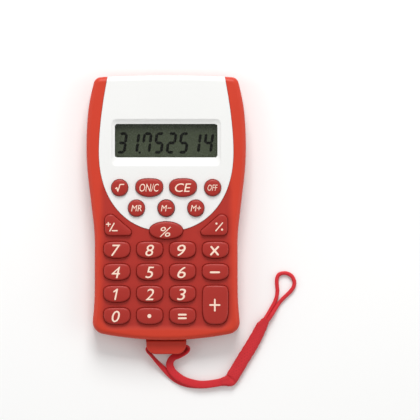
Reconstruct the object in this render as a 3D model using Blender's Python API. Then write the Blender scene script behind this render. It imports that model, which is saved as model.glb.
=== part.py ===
"""Pocket calculator with a wrist lanyard, as separate pieces, in metres.

The case lies on its back: +Z points out of the keys and +Y points to the display end. The
origin is the centre of the case's footprint, lug included, on the surface it lies on. Sizes
below are in millimetres.
"""
import math

import bmesh
import bpy
from mathutils import Vector

MM = 0.001
GAP = 0.3

# Case, seen from above.
TOP_END = 59.9
BOTTOM_END = -53.8
LUG_END = -59.9
TOP_SAG = 0.65
BOTTOM_SAG = 2.7
TOP_CORNER = (28.0, 56.0, 3.2)
TOP_CORNER_ARC = (12, 85)
TOP_EDGE_X = (19.0, 10.0, 0.0)
BOTTOM_CORNER = (26.3, -45.9, 5.3)
BOTTOM_CORNER_ARC = (-78, 8)
BOTTOM_EDGE_X = (0.0, 9.0, 18.0)
SIDE_CURVE = (
    (31.2, -41.5),
    (30.8, -35.0),
    (30.75, -22.0),
    (30.8, -8.0),
    (31.7, 0.4),
    (32.6, 8.1),
    (33.8, 18.4),
    (34.3, 29.0),
    (33.8, 41.7),
    (32.8, 49.4),
)

# Case, from back to front.
FLOOR_TOP = 1.6
SPLIT = 5.6
DECK_TOP = 11.5
DECK = 1.6
WALL = 1.8
LEDGE = 1.4
LEDGE_THICKNESS = 1.2
STEP_WALL = 1.2
BACK_FILLET = 1.5
FRONT_FILLET = 2.2
DECK_UNDER = DECK_TOP - DECK
RECESS_FLOOR = DECK_UNDER - GAP
LEDGE_UNDER = RECESS_FLOOR - LEDGE_THICKNESS
FRONT_BASE = SPLIT + GAP
CUT_BELOW = FRONT_BASE - 2
CUT_ABOVE = DECK_TOP + 2

# White panel: a bell whose lower part is a superellipse.
PANEL_HALF = 29.0
PANEL_WIDEST_Y = 27.5
PANEL_DEPTH = 34.6
PANEL_POWER = 2.2
PANEL_TAPER = 3.7
PANEL_TAPER_RUN = 31.5
PANEL_TAPER_POWER = 1.7
PANEL_OVERRUN = 62.5
PANEL_ARC_STEPS = 12
PANEL_SIDE_Y = (36.0, 44.0, 52.0, 58.5, PANEL_OVERRUN)
PANEL_SLOT_HALF = 25.5

# Display.
WINDOW_HALF = 22.05
WINDOW_Y = (24.7, 39.1)
RECESS_HALF = 23.1
RECESS_Y = (21.0, 41.4)
WINDOW_LIP = 0.6
PANE = (23.6, (23.4, 40.4), (8.7, 9.6))
CELL = (25.0, (20.8, 43.0), (6.6, 8.1))
CONNECTOR = (22.0, (21.3, 22.9), (5.1, 6.3))

# Keys.
KEY_SIDES = 16
KEY_TOP = 13.1
KEY_EDGE = 0.5
KEY_CLEARANCE = 0.35
FLANGE_REACH = 0.6
FLANGE_ROOM = 0.9
FLANGE = (8.8, 9.6)
PLUNGER_RADIUS = 1.8
PLUNGER_END = 6.9
COLUMN_PITCH = 14.1
ROW_PITCH = 9.46
FIRST_ROW = -15.0
GRID = (
    ("key_7", "key_8", "key_9", "key_multiply"),
    ("key_4", "key_5", "key_6", "key_minus"),
    ("key_1", "key_2", "key_3"),
    ("key_0", "key_point", "key_equals"),
)
UPPER_ROW = 11.7
LOWER_ROW = 2.9
SMALL_X = 19.95
OVAL_X = 7.25
MEMORY_X = 12.75
PLUS_CENTRE = (1.5 * COLUMN_PITCH, FIRST_ROW - 2.5 * ROW_PITCH + 0.05)
PERCENT_CENTRE = (0.0, -6.6)
CORNER_KEY_CENTRE = (22.6, -5.0)

# Key shapes: half-width, half-height, and the powers of the upper and lower halves.
NUMBER_SHAPE = (5.8, 3.73, 3.6, 2.8)
PLUS_SHAPE = (5.7, 8.5, 6.0, 4.2)
OVAL_SHAPE = (6.1, 4.1, 2.7, 2.0)
SMALL_SHAPE = (3.8, 3.8, 2.0, 2.0)
PERCENT_SHAPE = (7.25, 3.75, 2.0, 2.2)
CORNER_SHAPE = ((26.4, 3.25, 2.5), (12.3, -8.9, 1.5), (26.4, -8.9, 2.4))

# Board, mat and battery.
BOARD = (26.6, (-46.6, 43.2), (3.8, 4.8))
MAT = (25.6, (-46.9, 15.6), (5.1, 5.8))
DOME_TOP = 6.6
DOME_RADII = (2.4, 1.7)
CHIP_Y = -8.0
CHIP_DROP = ((2.6, 2.2), (4.4, 2.6), (5.0, 3.1), (5.1, 3.5))
RESISTOR = ((7.0, 10.2), (3.2, 4.8), 2.5, 3.5)
BATTERY_Y = 50.9
BATTERY_RADIUS = 5.8
BATTERY_Z = (1.8, 7.2)
CELL_RIM = 0.4
BAY_SIDES = 20
BAY_HOLE = 6.2
BAY_RING = (6.9, 7.9)
BAY_FLOOR = 3.0
BAY_PLATE = ((-11.5, 11.5), (42.3, 58.7))
BAY_NOTCH = ((-5.5, 5.5), (41.0, 47.0))
STRIP = 0.3
NEGATIVE_HALF = 2.0
NEGATIVE_Y = (41.4, 44.2, 53.0)
POSITIVE_Z = (4.0, 6.8)
POSITIVE_ARC = (185, 240)
POSITIVE_TAIL = ((-5.2, -3.4), (41.4, 45.9))
DOOR_HALF = 9.7
DOOR_Y = 43.3
DOOR_Z = (0.2, 1.5)

# Screws, as places on the case.
CASE_SCREWS = ((-28.8, 47.0), (28.8, 47.0), (-14.1, -49.6), (14.1, -49.6))
BOARD_SCREWS = ((-24.3, 18.2), (24.3, 18.2), (-14.1, -29.25), (14.1, -29.25))
CASE_BOSS = 2.5
FRONT_BOSS = 2.2
BOARD_BOSS = 1.9
BOSS_SIDES = 12
BOARD_TABS = ((22.2, 28.0), (16.5, 19.9))
PILOT_TOP = 8.7
SCREW_HOLE = 1.1
SCREW_SIDES = 10
SCREW_RADIUS = 0.8
SCREW_TOP = 8.0
HEAD_RADIUS = 1.6
HEAD_HEIGHT = 1.1
HEAD_HOLE = 1.9
HEAD_SEAT = 1.75
CASE_HEAD_Z = 0.35
BOARD_HEAD_Z = 2.4

# Lug for the lanyard.
LUG_HALF = 7.6
LUG_ROOT = 8.9
LUG_FLARE_Y = -55.0
LUG_Z = (1.2, 7.2)
LUG_CORNER = 4.0
LUG_EDGE = 0.6
TUNNEL = (-56.6, 4.2, 1.6)

# Lanyard: the tape's line from the sleeve, through the lug from right to left, and back.
STRAP_THICKNESS = 1.0
STRAP_ROUTE = (
    (24.6, -71.85, 1.9),
    (20.5, -72.65, 1.85),
    (14.8, -73.1, 1.85),
    (8.5, -71.65, 1.85),
    (5.0, -69.7, 1.85),
    (2.6, -67.4, 1.85),
    (1.6, -65.3, 1.85),
    (1.5, -63.9, 1.9),
    (2.1, -62.4, 2.1),
    (3.4, -61.2, 2.4),
    (5.2, -60.6, 2.8),
    (7.0, -59.75, 3.2),
    (8.6, -58.7, 3.6),
    (9.4, -57.6, 3.9),
    (8.9, -56.7, 4.1),
    (7.3, -56.5, 4.2),
    (0.0, -56.6, 4.2),
    (-7.2, -56.7, 4.2),
    (-8.3, -57.4, 4.1),
    (-8.15, -58.5, 3.8),
    (-7.1, -59.7, 3.4),
    (-5.9, -61.1, 2.8),
    (-4.55, -62.7, 2.2),
    (-3.05, -64.3, 1.7),
    (-1.5, -65.95, 1.3),
    (0.35, -67.7, 0.9),
    (2.3, -69.35, 0.65),
    (4.7, -71.0, 0.55),
    (7.9, -72.4, 0.55),
    (11.5, -73.1, 0.55),
    (15.5, -73.2, 0.55),
    (20.5, -72.7, 0.55),
    (24.6, -71.9, 0.6),
)
LOOP_DIAMETER = 1.5
LOOP_ROUTE = (
    (42.1, -45.35, 1.4),
    (43.8, -42.9, 1.0),
    (45.1, -40.5, 0.85),
    (46.6, -37.9, 0.8),
    (47.5, -35.5, 0.8),
    (47.9, -32.5, 0.8),
    (47.65, -29.5, 0.8),
    (47.75, -27.2, 0.8),
    (48.6, -25.7, 0.8),
    (50.4, -25.1, 0.8),
    (52.6, -25.4, 0.8),
    (54.3, -26.7, 0.8),
    (55.2, -28.8, 0.8),
    (54.9, -30.9, 0.8),
    (53.5, -33.0, 0.8),
    (51.2, -35.2, 0.8),
    (48.75, -37.8, 0.8),
    (46.75, -40.9, 1.3),
    (45.1, -43.6, 1.8),
    (43.0, -46.5, 1.6),
)
SLEEVE_HALF_THICKNESS = 1.3
SLEEVE_Z = 1.45
SLEEVE_SIDES = 12
SLEEVE_LINE = (
    ((24.95, -71.85), 1.95),
    ((27.6, -71.0), 2.9),
    ((29.5, -68.2), 2.85),
    ((33.2, -62.0), 2.85),
    ((36.9, -56.0), 2.8),
    ((39.1, -52.0), 2.65),
    ((40.9, -48.4), 2.5),
    ((41.8, -46.9), 2.2),
    ((42.35, -46.1), 1.5),
)

# Finishes: sRGB colour from 0 to 255, roughness, metallic.
FINISHES = {
    "red_shell": ((206, 70, 50), 0.38, 0.0),
    "white_panel": ((246, 246, 244), 0.35, 0.0),
    "key_plastic": ((172, 56, 50), 0.3, 0.0),
    "window_acrylic": ((235, 240, 236), 0.05, 0.0),
    "lcd_glass": ((74, 78, 64), 0.15, 0.0),
    "board_green": ((38, 98, 60), 0.45, 0.0),
    "mat_silicone": ((196, 196, 190), 0.6, 0.0),
    "chip_resin": ((22, 22, 24), 0.35, 0.0),
    "resistor_ceramic": ((196, 170, 128), 0.5, 0.0),
    "connector_rubber": ((60, 60, 64), 0.7, 0.0),
    "cell_steel": ((200, 200, 202), 0.25, 1.0),
    "contact_nickel": ((206, 200, 188), 0.3, 1.0),
    "screw_zinc": ((188, 190, 194), 0.35, 1.0),
    "lanyard_woven": ((196, 40, 52), 0.75, 0.0),
}


def clear_scene():
    """Removes every object, so the script starts from nothing."""
    for item in list(bpy.data.objects):
        bpy.data.objects.remove(item, do_unlink=True)


def finish_material(name):
    """Returns the material of one finish, made once."""
    if name in bpy.data.materials:
        return bpy.data.materials[name]
    (red, green, blue), roughness, metallic = FINISHES[name]
    colour = [((c / 255 + 0.055) / 1.055) ** 2.4 for c in (red, green, blue)]
    result = bpy.data.materials.new(name)
    result.use_nodes = True
    shader = result.node_tree.nodes["Principled BSDF"]
    shader.inputs["Base Color"].default_value = (*colour, 1.0)
    shader.inputs["Roughness"].default_value = roughness
    shader.inputs["Metallic"].default_value = metallic
    return result


# Outlines.


def arc(centre_x, centre_y, radius, start, end, steps):
    """Points on a circle from one angle to another, in degrees."""
    angles = (math.radians(start + (end - start) * i / steps) for i in range(steps + 1))
    return [(centre_x + radius * math.cos(a), centre_y + radius * math.sin(a)) for a in angles]


def circle(centre_x, centre_y, radius, sides):
    """A closed circle, counter-clockwise."""
    return arc(centre_x, centre_y, radius, 0, 360 - 360 / sides, sides - 1)


def offset(outline, distance):
    """Moves a counter-clockwise outline inwards, or outwards if distance is negative."""
    moved = []
    count = len(outline)
    for i, here in enumerate(outline):
        before, after = Vector(outline[i - 1]), Vector(outline[(i + 1) % count])
        here = Vector(here)
        first, second = (here - before).normalized(), (after - here).normalized()
        normal_a, normal_b = Vector((-first.y, first.x)), Vector((-second.y, second.x))
        miter = (normal_a + normal_b) / (1 + normal_a.dot(normal_b))
        moved.append(tuple(here + miter * distance))
    return moved


def rounded_polygon(corners, steps):
    """Rounds each corner (x, y, radius) of a counter-clockwise polygon with an arc."""
    points = []
    count = len(corners)
    for i, (x, y, radius) in enumerate(corners):
        here = Vector((x, y))
        to_before = (Vector(corners[i - 1][:2]) - here).normalized()
        to_after = (Vector(corners[(i + 1) % count][:2]) - here).normalized()
        half = to_before.angle(to_after) / 2
        centre = here + (to_before + to_after).normalized() * (radius / math.sin(half))
        first = here + to_before * (radius / math.tan(half)) - centre
        turn = math.copysign(math.pi - 2 * half, to_after.cross(to_before))
        for step in range(steps + 1):
            angle = turn * step / steps
            spin = (math.cos(angle), math.sin(angle))
            points.append(
                (
                    centre.x + first.x * spin[0] - first.y * spin[1],
                    centre.y + first.x * spin[1] + first.y * spin[0],
                )
            )
    return points


def rectangle(half_width, span_y, radius, steps=2):
    """A rectangle centred on the Y axis, with round corners."""
    low, high = span_y
    corners = ((half_width, low), (half_width, high), (-half_width, high), (-half_width, low))
    return rounded_polygon([(x, y, radius) for x, y in corners], steps)


def egg(centre, half_width, half_height, top_power, bottom_power):
    """A superellipse whose upper and lower halves may differ; power 2 is round."""
    points = []
    for i in range(KEY_SIDES):
        angle = math.tau * i / KEY_SIDES
        cosine, sine = math.cos(angle), math.sin(angle)
        power = top_power if sine >= 0 else bottom_power
        x = half_width * math.copysign(abs(cosine) ** (2 / power), cosine)
        y = half_height * math.copysign(abs(sine) ** (2 / power), sine)
        points.append((centre[0] + x, centre[1] + y))
    return points


def case_outline():
    """The case from above, counter-clockwise from the middle of the bottom edge."""
    edge_x, edge_y, edge_radius = BOTTOM_CORNER
    bottom_corner = arc(edge_x, edge_y, edge_radius, *BOTTOM_CORNER_ARC, 4)
    last_x = bottom_corner[0][0]
    bottom = [(x, BOTTOM_END + BOTTOM_SAG * (x / last_x) ** 2) for x in BOTTOM_EDGE_X]
    top_x, top_y, top_radius = TOP_CORNER
    top_corner = arc(top_x, top_y, top_radius, *TOP_CORNER_ARC, 3)
    end_x = top_corner[-1][0]
    top = [(x, TOP_END - TOP_SAG * (x / end_x) ** 2) for x in TOP_EDGE_X]
    right = bottom + bottom_corner + list(SIDE_CURVE) + top_corner + top
    left = [(-x, y) for x, y in reversed(right[1:-1])]
    return right + left


def panel_outline():
    """The white panel from above, run on past the case's top end."""
    right = []
    for i in range(PANEL_ARC_STEPS + 1):
        angle = math.pi / 2 * i / PANEL_ARC_STEPS
        x = PANEL_HALF * math.sin(angle) ** (2 / PANEL_POWER)
        y = PANEL_WIDEST_Y - PANEL_DEPTH * math.cos(angle) ** (2 / PANEL_POWER)
        right.append((x, y))
    for y in PANEL_SIDE_Y:
        taper = ((y - PANEL_WIDEST_Y) / PANEL_TAPER_RUN) ** PANEL_TAPER_POWER
        right.append((PANEL_HALF - PANEL_TAPER * taper, y))
    left = [(-x, y) for x, y in reversed(right[1:])]
    return right + left


# Meshes.


def add_loft(mesh, rings):
    """Adds a closed body through (outline, z) rings, from low to high."""
    rows = [[mesh.verts.new(Vector((x, y, z)) * MM) for x, y in outline] for outline, z in rings]
    add_bands(mesh, rows)


def add_bands(mesh, rows):
    """Joins rows of vertices with bands of faces and closes both ends."""
    for low, high in zip(rows, rows[1:]):
        for i in range(len(low)):
            j = (i + 1) % len(low)
            mesh.faces.new((low[i], low[j], high[j], high[i]))
    mesh.faces.new(list(reversed(rows[0])))
    mesh.faces.new(rows[-1])


def make_object(name, mesh, finish, origin=(0.0, 0.0, 0.0)):
    """Turns a bmesh into an object whose origin is at the given place."""
    bmesh.ops.recalc_face_normals(mesh, faces=mesh.faces)
    origin = Vector(origin) * MM
    bmesh.ops.translate(mesh, verts=mesh.verts, vec=-origin)
    data = bpy.data.meshes.new(name)
    mesh.to_mesh(data)
    mesh.free()
    data.shade_smooth()
    data.set_sharp_from_angle(angle=math.radians(35))
    data.materials.append(finish_material(finish))
    result = bpy.data.objects.new(name, data)
    result.location = origin
    bpy.context.collection.objects.link(result)
    return result


def solid(name, finish, *bodies, origin=(0.0, 0.0, 0.0)):
    """An object made of one or more lofts, each a list of (outline, z) rings."""
    mesh = bmesh.new()
    for rings in bodies:
        add_loft(mesh, rings)
    return make_object(name, mesh, finish, origin)


def prism(outline, low, high):
    """A straight-sided loft."""
    return [(outline, low), (outline, high)]


def box(span_x, span_y, low, high):
    """A straight block."""
    (left, right), (front, back) = span_x, span_y
    return prism([(left, front), (right, front), (right, back), (left, back)], low, high)


def combine(target, operation, tool):
    """Adds a Boolean with a tool that is itself left out of the model."""
    tool.hide_render = True
    tool.display_type = "WIRE"
    modifier = target.modifiers.new(tool.name, "BOOLEAN")
    modifier.operation = operation
    modifier.solver = "EXACT"
    modifier.object = tool


def tool_solid(name, *bodies):
    """A helper body for Booleans."""
    return solid(name, "red_shell", *bodies)


def front_case_rings():
    """The outside of the case above the split, with the fillet of its front edge."""
    outline = case_outline()
    start = DECK_TOP - FRONT_FILLET
    rings = [(outline, FRONT_BASE), (outline, start)]
    for degrees in (35, 65, 90):
        angle = math.radians(degrees)
        inset = FRONT_FILLET * (1 - math.cos(angle))
        rings.append((offset(outline, inset), start + FRONT_FILLET * math.sin(angle)))
    return rings


def back_case_rings(top):
    """The outside of the case below the split, with the fillet of its back edge."""
    outline = case_outline()
    rings = []
    for degrees in (90, 60, 30):
        angle = math.radians(degrees)
        inset = BACK_FILLET * (1 - math.cos(angle))
        rings.append((offset(outline, inset), BACK_FILLET * (1 - math.sin(angle))))
    return rings + [(outline, BACK_FILLET), (outline, top)]


# Keys.


def grid_keys():
    """Name and outline of each key in the four rows of the red field."""
    keys = []
    for row, names in enumerate(GRID):
        for column, name in enumerate(names):
            centre = ((column - 1.5) * COLUMN_PITCH, FIRST_ROW - row * ROW_PITCH)
            keys.append((name, centre, egg(centre, *NUMBER_SHAPE)))
    keys.append(("key_plus", PLUS_CENTRE, egg(PLUS_CENTRE, *PLUS_SHAPE)))
    return keys


def corner_keys():
    """The two triangular keys that follow the white panel's edge."""
    mirrored = [(-x, y, radius) for x, y, radius in reversed(CORNER_SHAPE)]
    centre_x, centre_y = CORNER_KEY_CENTRE
    steps = 4
    return [
        ("key_divide", CORNER_KEY_CENTRE, rounded_polygon(CORNER_SHAPE, steps)),
        ("key_sign", (-centre_x, centre_y), rounded_polygon(mirrored, steps)),
    ]


def panel_keys():
    """The seven keys that stand in the white panel."""
    layout = (
        ("key_root", -SMALL_X, UPPER_ROW, SMALL_SHAPE),
        ("key_on_clear", -OVAL_X, UPPER_ROW, OVAL_SHAPE),
        ("key_clear_entry", OVAL_X, UPPER_ROW, OVAL_SHAPE),
        ("key_off", SMALL_X, UPPER_ROW, SMALL_SHAPE),
        ("key_memory_recall", -MEMORY_X, LOWER_ROW, SMALL_SHAPE),
        ("key_memory_minus", 0.0, LOWER_ROW, SMALL_SHAPE),
        ("key_memory_plus", MEMORY_X, LOWER_ROW, SMALL_SHAPE),
    )
    return [(name, (x, y), egg((x, y), *shape)) for name, x, y, shape in layout]


def percent_key():
    """The key that straddles the lower end of the white panel."""
    return ("key_percent", PERCENT_CENTRE, egg(PERCENT_CENTRE, *PERCENT_SHAPE))


def all_keys():
    """Every key as (name, centre, outline)."""
    return grid_keys() + corner_keys() + panel_keys() + [percent_key()]


def make_key(name, centre, outline):
    """A key: plunger, retaining flange and cap, as one body."""
    first = outline[0]
    turn = math.atan2(first[1] - centre[1], first[0] - centre[0])
    plunger = [
        (
            centre[0] + PLUNGER_RADIUS * math.cos(turn + math.tau * i / len(outline)),
            centre[1] + PLUNGER_RADIUS * math.sin(turn + math.tau * i / len(outline)),
        )
        for i in range(len(outline))
    ]
    flange = offset(outline, -FLANGE_REACH)
    rings = [
        (plunger, PLUNGER_END),
        (plunger, FLANGE[0]),
        (flange, FLANGE[0]),
        (flange, FLANGE[1]),
        (outline, FLANGE[1]),
        (outline, KEY_TOP - KEY_EDGE),
        (offset(outline, KEY_EDGE), KEY_TOP),
    ]
    return solid(name, "key_plastic", rings, origin=(*centre, KEY_TOP))


# Case.


def make_front_shell():
    """Red upper shell: deck, walls, the panel's recess and ledge, bosses and key openings."""
    outline, panel = case_outline(), panel_outline()
    inside = offset(outline, WALL)
    shell = solid("front_shell", "red_shell", front_case_rings())
    hollow = prism(inside, CUT_BELOW, LEDGE_UNDER)
    combine(shell, "DIFFERENCE", tool_solid("front_hollow", hollow))
    high = tool_solid("front_high_hollow", prism(inside, LEDGE_UNDER - 0.1, DECK_UNDER))
    around = tool_solid("front_step_wall", prism(offset(panel, -STEP_WALL), CUT_BELOW, CUT_ABOVE))
    combine(high, "DIFFERENCE", around)
    combine(shell, "DIFFERENCE", high)
    combine(shell, "DIFFERENCE", tool_solid("panel_recess", prism(panel, RECESS_FLOOR, CUT_ABOVE)))
    opening = prism(offset(panel, LEDGE), CUT_BELOW, DECK_UNDER)
    combine(shell, "DIFFERENCE", tool_solid("panel_opening", opening))
    slot_y = (TOP_END - TOP_SAG - WALL - GAP, PANEL_OVERRUN)
    slot = box((-PANEL_SLOT_HALF, PANEL_SLOT_HALF), slot_y, CUT_BELOW, RECESS_FLOOR + 0.1)
    combine(shell, "DIFFERENCE", tool_solid("panel_end_slot", slot))
    add_front_bosses(shell)
    cut_key_openings(shell)
    return shell


def add_front_bosses(shell):
    """Posts for the case screws and the board screws, with pilot holes."""
    hole_sides, root = 8, 0.4
    posts, holes = [], []
    for x, y in CASE_SCREWS:
        top = DECK_UNDER + root if y < 0 else RECESS_FLOOR - root / 2
        posts.append(prism(circle(x, y, FRONT_BOSS, BOSS_SIDES), FRONT_BASE, top))
        holes.append(prism(circle(x, y, SCREW_HOLE, hole_sides), FRONT_BASE - 1, PILOT_TOP))
    for x, y in BOARD_SCREWS:
        top = DECK_UNDER + root if y < 0 else RECESS_FLOOR - GAP
        posts.append(prism(circle(x, y, BOARD_BOSS, BOSS_SIDES), BOARD[2][1] + GAP, top))
        holes.append(prism(circle(x, y, SCREW_HOLE, hole_sides), BOARD[2][1] - 1, PILOT_TOP))
    (near, far), span = BOARD_TABS
    tab_top = RECESS_FLOOR - 0.1
    tabs = [box(span_x, span, LEDGE_UNDER, tab_top) for span_x in ((near, far), (-far, -near))]
    combine(shell, "UNION", tool_solid("board_boss_tabs", *tabs))
    combine(shell, "UNION", tool_solid("front_posts", *posts))
    combine(shell, "DIFFERENCE", tool_solid("front_pilot_holes", *holes))


def cut_key_openings(shell):
    """Openings in the red deck, and the wider room under it for the percent key's flange."""
    openings = [
        prism(offset(outline, -KEY_CLEARANCE), CUT_BELOW, CUT_ABOVE)
        for name, centre, outline in grid_keys() + corner_keys()
    ]
    outline = percent_key()[2]
    wide, narrow = offset(outline, -FLANGE_ROOM), offset(outline, -KEY_CLEARANCE)
    shoulder = DECK_UNDER - 0.15
    rings = [(wide, CUT_BELOW), (wide, shoulder), (narrow, shoulder), (narrow, CUT_ABOVE)]
    openings.append(rings)
    combine(shell, "DIFFERENCE", tool_solid("key_openings", *openings))


def make_face_panel():
    """White panel with its end wall, the stepped display opening and the key openings."""
    panel = solid("face_panel", "white_panel", front_case_rings())
    shape = tool_solid("panel_shape", prism(offset(panel_outline(), GAP), CUT_BELOW, CUT_ABOVE))
    combine(panel, "INTERSECT", shape)
    hollow = prism(offset(case_outline(), WALL), CUT_BELOW, DECK_UNDER)
    combine(panel, "DIFFERENCE", tool_solid("panel_hollow", hollow))
    lip = DECK_UNDER + WINDOW_LIP
    slope = (CUT_ABOVE - lip) / (DECK_TOP - lip)
    outer_half = WINDOW_HALF + (RECESS_HALF - WINDOW_HALF) * slope
    outer_y = [w + (r - w) * slope for w, r in zip(WINDOW_Y, RECESS_Y)]
    window = rectangle(WINDOW_HALF, WINDOW_Y, 0.7)
    outer = rectangle(outer_half, outer_y, 1.6)
    opening = [(window, CUT_BELOW), (window, lip), (outer, CUT_ABOVE)]
    holes = [
        prism(offset(outline, -KEY_CLEARANCE), CUT_BELOW, CUT_ABOVE)
        for name, centre, outline in panel_keys() + [percent_key()]
    ]
    combine(panel, "DIFFERENCE", tool_solid("panel_openings", opening, *holes))
    return panel


def make_rear_shell():
    """Red lower shell: floor, walls, screw bosses, battery bay and the lanyard's lug."""
    shell = solid("rear_shell", "red_shell", back_case_rings(SPLIT))
    hollow = prism(offset(case_outline(), WALL), FLOOR_TOP, SPLIT + 2)
    combine(shell, "DIFFERENCE", tool_solid("rear_hollow", hollow))
    root = FLOOR_TOP - 0.3
    bosses = [prism(circle(x, y, CASE_BOSS, BOSS_SIDES), root, SPLIT) for x, y in CASE_SCREWS]
    combine(shell, "UNION", tool_solid("rear_bosses", *bosses))
    combine(shell, "UNION", tool_solid("bay_floor", box(*BAY_PLATE, root, BAY_FLOOR)))
    ring = prism(circle(0, BATTERY_Y, BAY_RING[1], BAY_SIDES), BAY_FLOOR - 0.5, SPLIT - 0.2)
    combine(shell, "UNION", tool_solid("bay_ring", ring))
    add_lug(shell)
    cut_battery_bay(shell)
    heads = [prism(circle(x, y, HEAD_HOLE, BOSS_SIDES), -1, HEAD_SEAT) for x, y in CASE_SCREWS]
    combine(shell, "DIFFERENCE", tool_solid("screw_head_holes", *heads))
    shafts = [prism(circle(x, y, SCREW_HOLE, 8), 1, SPLIT + 1) for x, y in CASE_SCREWS]
    combine(shell, "DIFFERENCE", tool_solid("screw_shaft_holes", *shafts))
    return shell


def cut_battery_bay(shell):
    """The bay's inside, its notch for the contacts, its hole in the floor, and the door's seat."""
    inner = prism(circle(0, BATTERY_Y, BAY_RING[0], BAY_SIDES), BAY_FLOOR, SPLIT + 1)
    combine(shell, "DIFFERENCE", tool_solid("bay_ring_inside", inner))
    notch = box(*BAY_NOTCH, BAY_FLOOR, SPLIT + 1)
    combine(shell, "DIFFERENCE", tool_solid("bay_contact_notch", notch))
    hole = prism(circle(0, BATTERY_Y, BAY_HOLE, BAY_SIDES), -1, BAY_FLOOR + 0.5)
    combine(shell, "DIFFERENCE", tool_solid("bay_hole", hole))
    half = DOOR_HALF + GAP
    recess = box((-half, half), (DOOR_Y - GAP, PANEL_OVERRUN), -1, DOOR_Z[1] + GAP)
    combine(shell, "DIFFERENCE", tool_solid("door_recess", recess))


def lug_outline(root_y, flared, inset):
    """The lug from above, with large corners at its free end, flared at the case or not."""
    root = [(-LUG_HALF, root_y, 0.9), (LUG_HALF, root_y, 0.9)]
    if flared:
        root = [
            (-LUG_HALF, LUG_FLARE_Y, 0.8),
            (-LUG_ROOT, root_y, 0.8),
            (LUG_ROOT, root_y, 0.8),
            (LUG_HALF, LUG_FLARE_Y, 0.8),
        ]
    free_end = [(LUG_HALF, LUG_END, LUG_CORNER), (-LUG_HALF, LUG_END, LUG_CORNER)]
    clockwise = root + free_end
    return offset(rounded_polygon(clockwise[::-1], 3), inset)


def add_lug(shell):
    """The lug in two blocks, so that its raised part stays clear of the front shell's wall."""
    low, high = LUG_Z
    insets = (0.0, LUG_EDGE)
    outline, narrow = (lug_outline(BOTTOM_END + 1.2, True, inset) for inset in insets)
    lower = [(narrow, low), (outline, low + LUG_EDGE), (outline, SPLIT)]
    combine(shell, "UNION", tool_solid("lug_lower", lower))
    outline, narrow = (lug_outline(BOTTOM_END - GAP, False, inset) for inset in insets)
    upper = [(outline, SPLIT - 1.0), (outline, high - LUG_EDGE), (narrow, high)]
    combine(shell, "UNION", tool_solid("lug_upper", upper))
    centre_y, centre_z, radius = TUNNEL
    mesh = bmesh.new()
    profile = circle(centre_y, centre_z, radius, 12)
    reach = LUG_ROOT + 3
    rows = [[mesh.verts.new(Vector((x, y, z)) * MM) for y, z in profile] for x in (-reach, reach)]
    add_bands(mesh, rows)
    combine(shell, "DIFFERENCE", make_object("lug_tunnel", mesh, "red_shell"))


def make_battery_door():
    """The cover under the battery, cut from the back of the case so that it ends flush."""
    door = solid("battery_door", "red_shell", back_case_rings(SPLIT))
    block = box((-DOOR_HALF, DOOR_HALF), (DOOR_Y, PANEL_OVERRUN), *DOOR_Z)
    combine(door, "INTERSECT", tool_solid("door_shape", block))
    return door


# Inside.


def make_display():
    """Pane, liquid crystal cell and the rubber strip that connects it to the board."""
    half, span, (low, high) = PANE
    solid("lcd_window", "window_acrylic", prism(rectangle(half, span, 0.8), low, high))
    half, span, (low, high) = CELL
    solid("lcd_cell", "lcd_glass", prism(rectangle(half, span, 0.3, 1), low, high))
    half, span, (low, high) = CONNECTOR
    solid("lcd_connector", "connector_rubber", box((-half, half), span, low, high))


def make_board():
    """Circuit board with its screw holes, the resin drop and the resistor under it."""
    half, span, (low, high) = BOARD
    board = solid("circuit_board", "board_green", prism(rectangle(half, span, 1.5), low, high))
    holes = [prism(circle(x, y, SCREW_HOLE, 8), low - 1, high + 1) for x, y in BOARD_SCREWS]
    combine(board, "DIFFERENCE", tool_solid("board_holes", *holes))
    drop = [(circle(0, CHIP_Y, radius, 16), z) for radius, z in CHIP_DROP]
    solid("chip_blob", "chip_resin", drop)
    solid("clock_resistor", "resistor_ceramic", box(*RESISTOR))


def make_keypad_mat():
    """Silicone sheet with a dome under each key, and holes for the board's bosses."""
    half, span, (low, high) = MAT
    mat = solid("keypad_mat", "mat_silicone", prism(rectangle(half, span, 2.0), low, high))
    wide, narrow = DOME_RADII
    domes = [
        [(circle(*centre, wide, 8), low + 0.2), (circle(*centre, wide, 8), high + 0.1),
         (circle(*centre, narrow, 8), DOME_TOP)]
        for name, centre, outline in all_keys()
    ]
    combine(mat, "UNION", tool_solid("mat_domes", *domes))
    holes = [
        prism(circle(x, y, BOARD_BOSS + 0.4, 10), low - 1, high + 1)
        for x, y in BOARD_SCREWS
        if y < 0
    ]
    combine(mat, "DIFFERENCE", tool_solid("mat_holes", *holes))


def make_battery():
    """Button cell with its two sprung contacts."""
    low, high = BATTERY_Z
    profile = (
        (BATTERY_RADIUS - CELL_RIM, low),
        (BATTERY_RADIUS, low + CELL_RIM),
        (BATTERY_RADIUS, high - 2 * CELL_RIM),
        (BATTERY_RADIUS - 3 * CELL_RIM, high),
    )
    rings = [(circle(0, BATTERY_Y, radius, BAY_SIDES), z) for radius, z in profile]
    solid("battery_cell", "cell_steel", rings)
    make_negative_contact(high + GAP)
    make_positive_contact()


def make_negative_contact(low):
    """Strip over the cell, bent down to the board: a bent profile, extruded along X."""
    board_top = BOARD[2][1] + GAP
    foot, near, far = NEGATIVE_Y
    high = low + STRIP
    profile = (
        (far, low),
        (far, high),
        (near, high),
        (near, board_top + STRIP),
        (foot, board_top + STRIP),
        (foot, board_top),
        (near + STRIP, board_top),
        (near + STRIP, low),
    )
    mesh = bmesh.new()
    rows = [
        [mesh.verts.new(Vector((x, y, z)) * MM) for y, z in profile]
        for x in (-NEGATIVE_HALF, NEGATIVE_HALF)
    ]
    add_bands(mesh, rows)
    make_object("battery_contact_negative", mesh, "contact_nickel")


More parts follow.
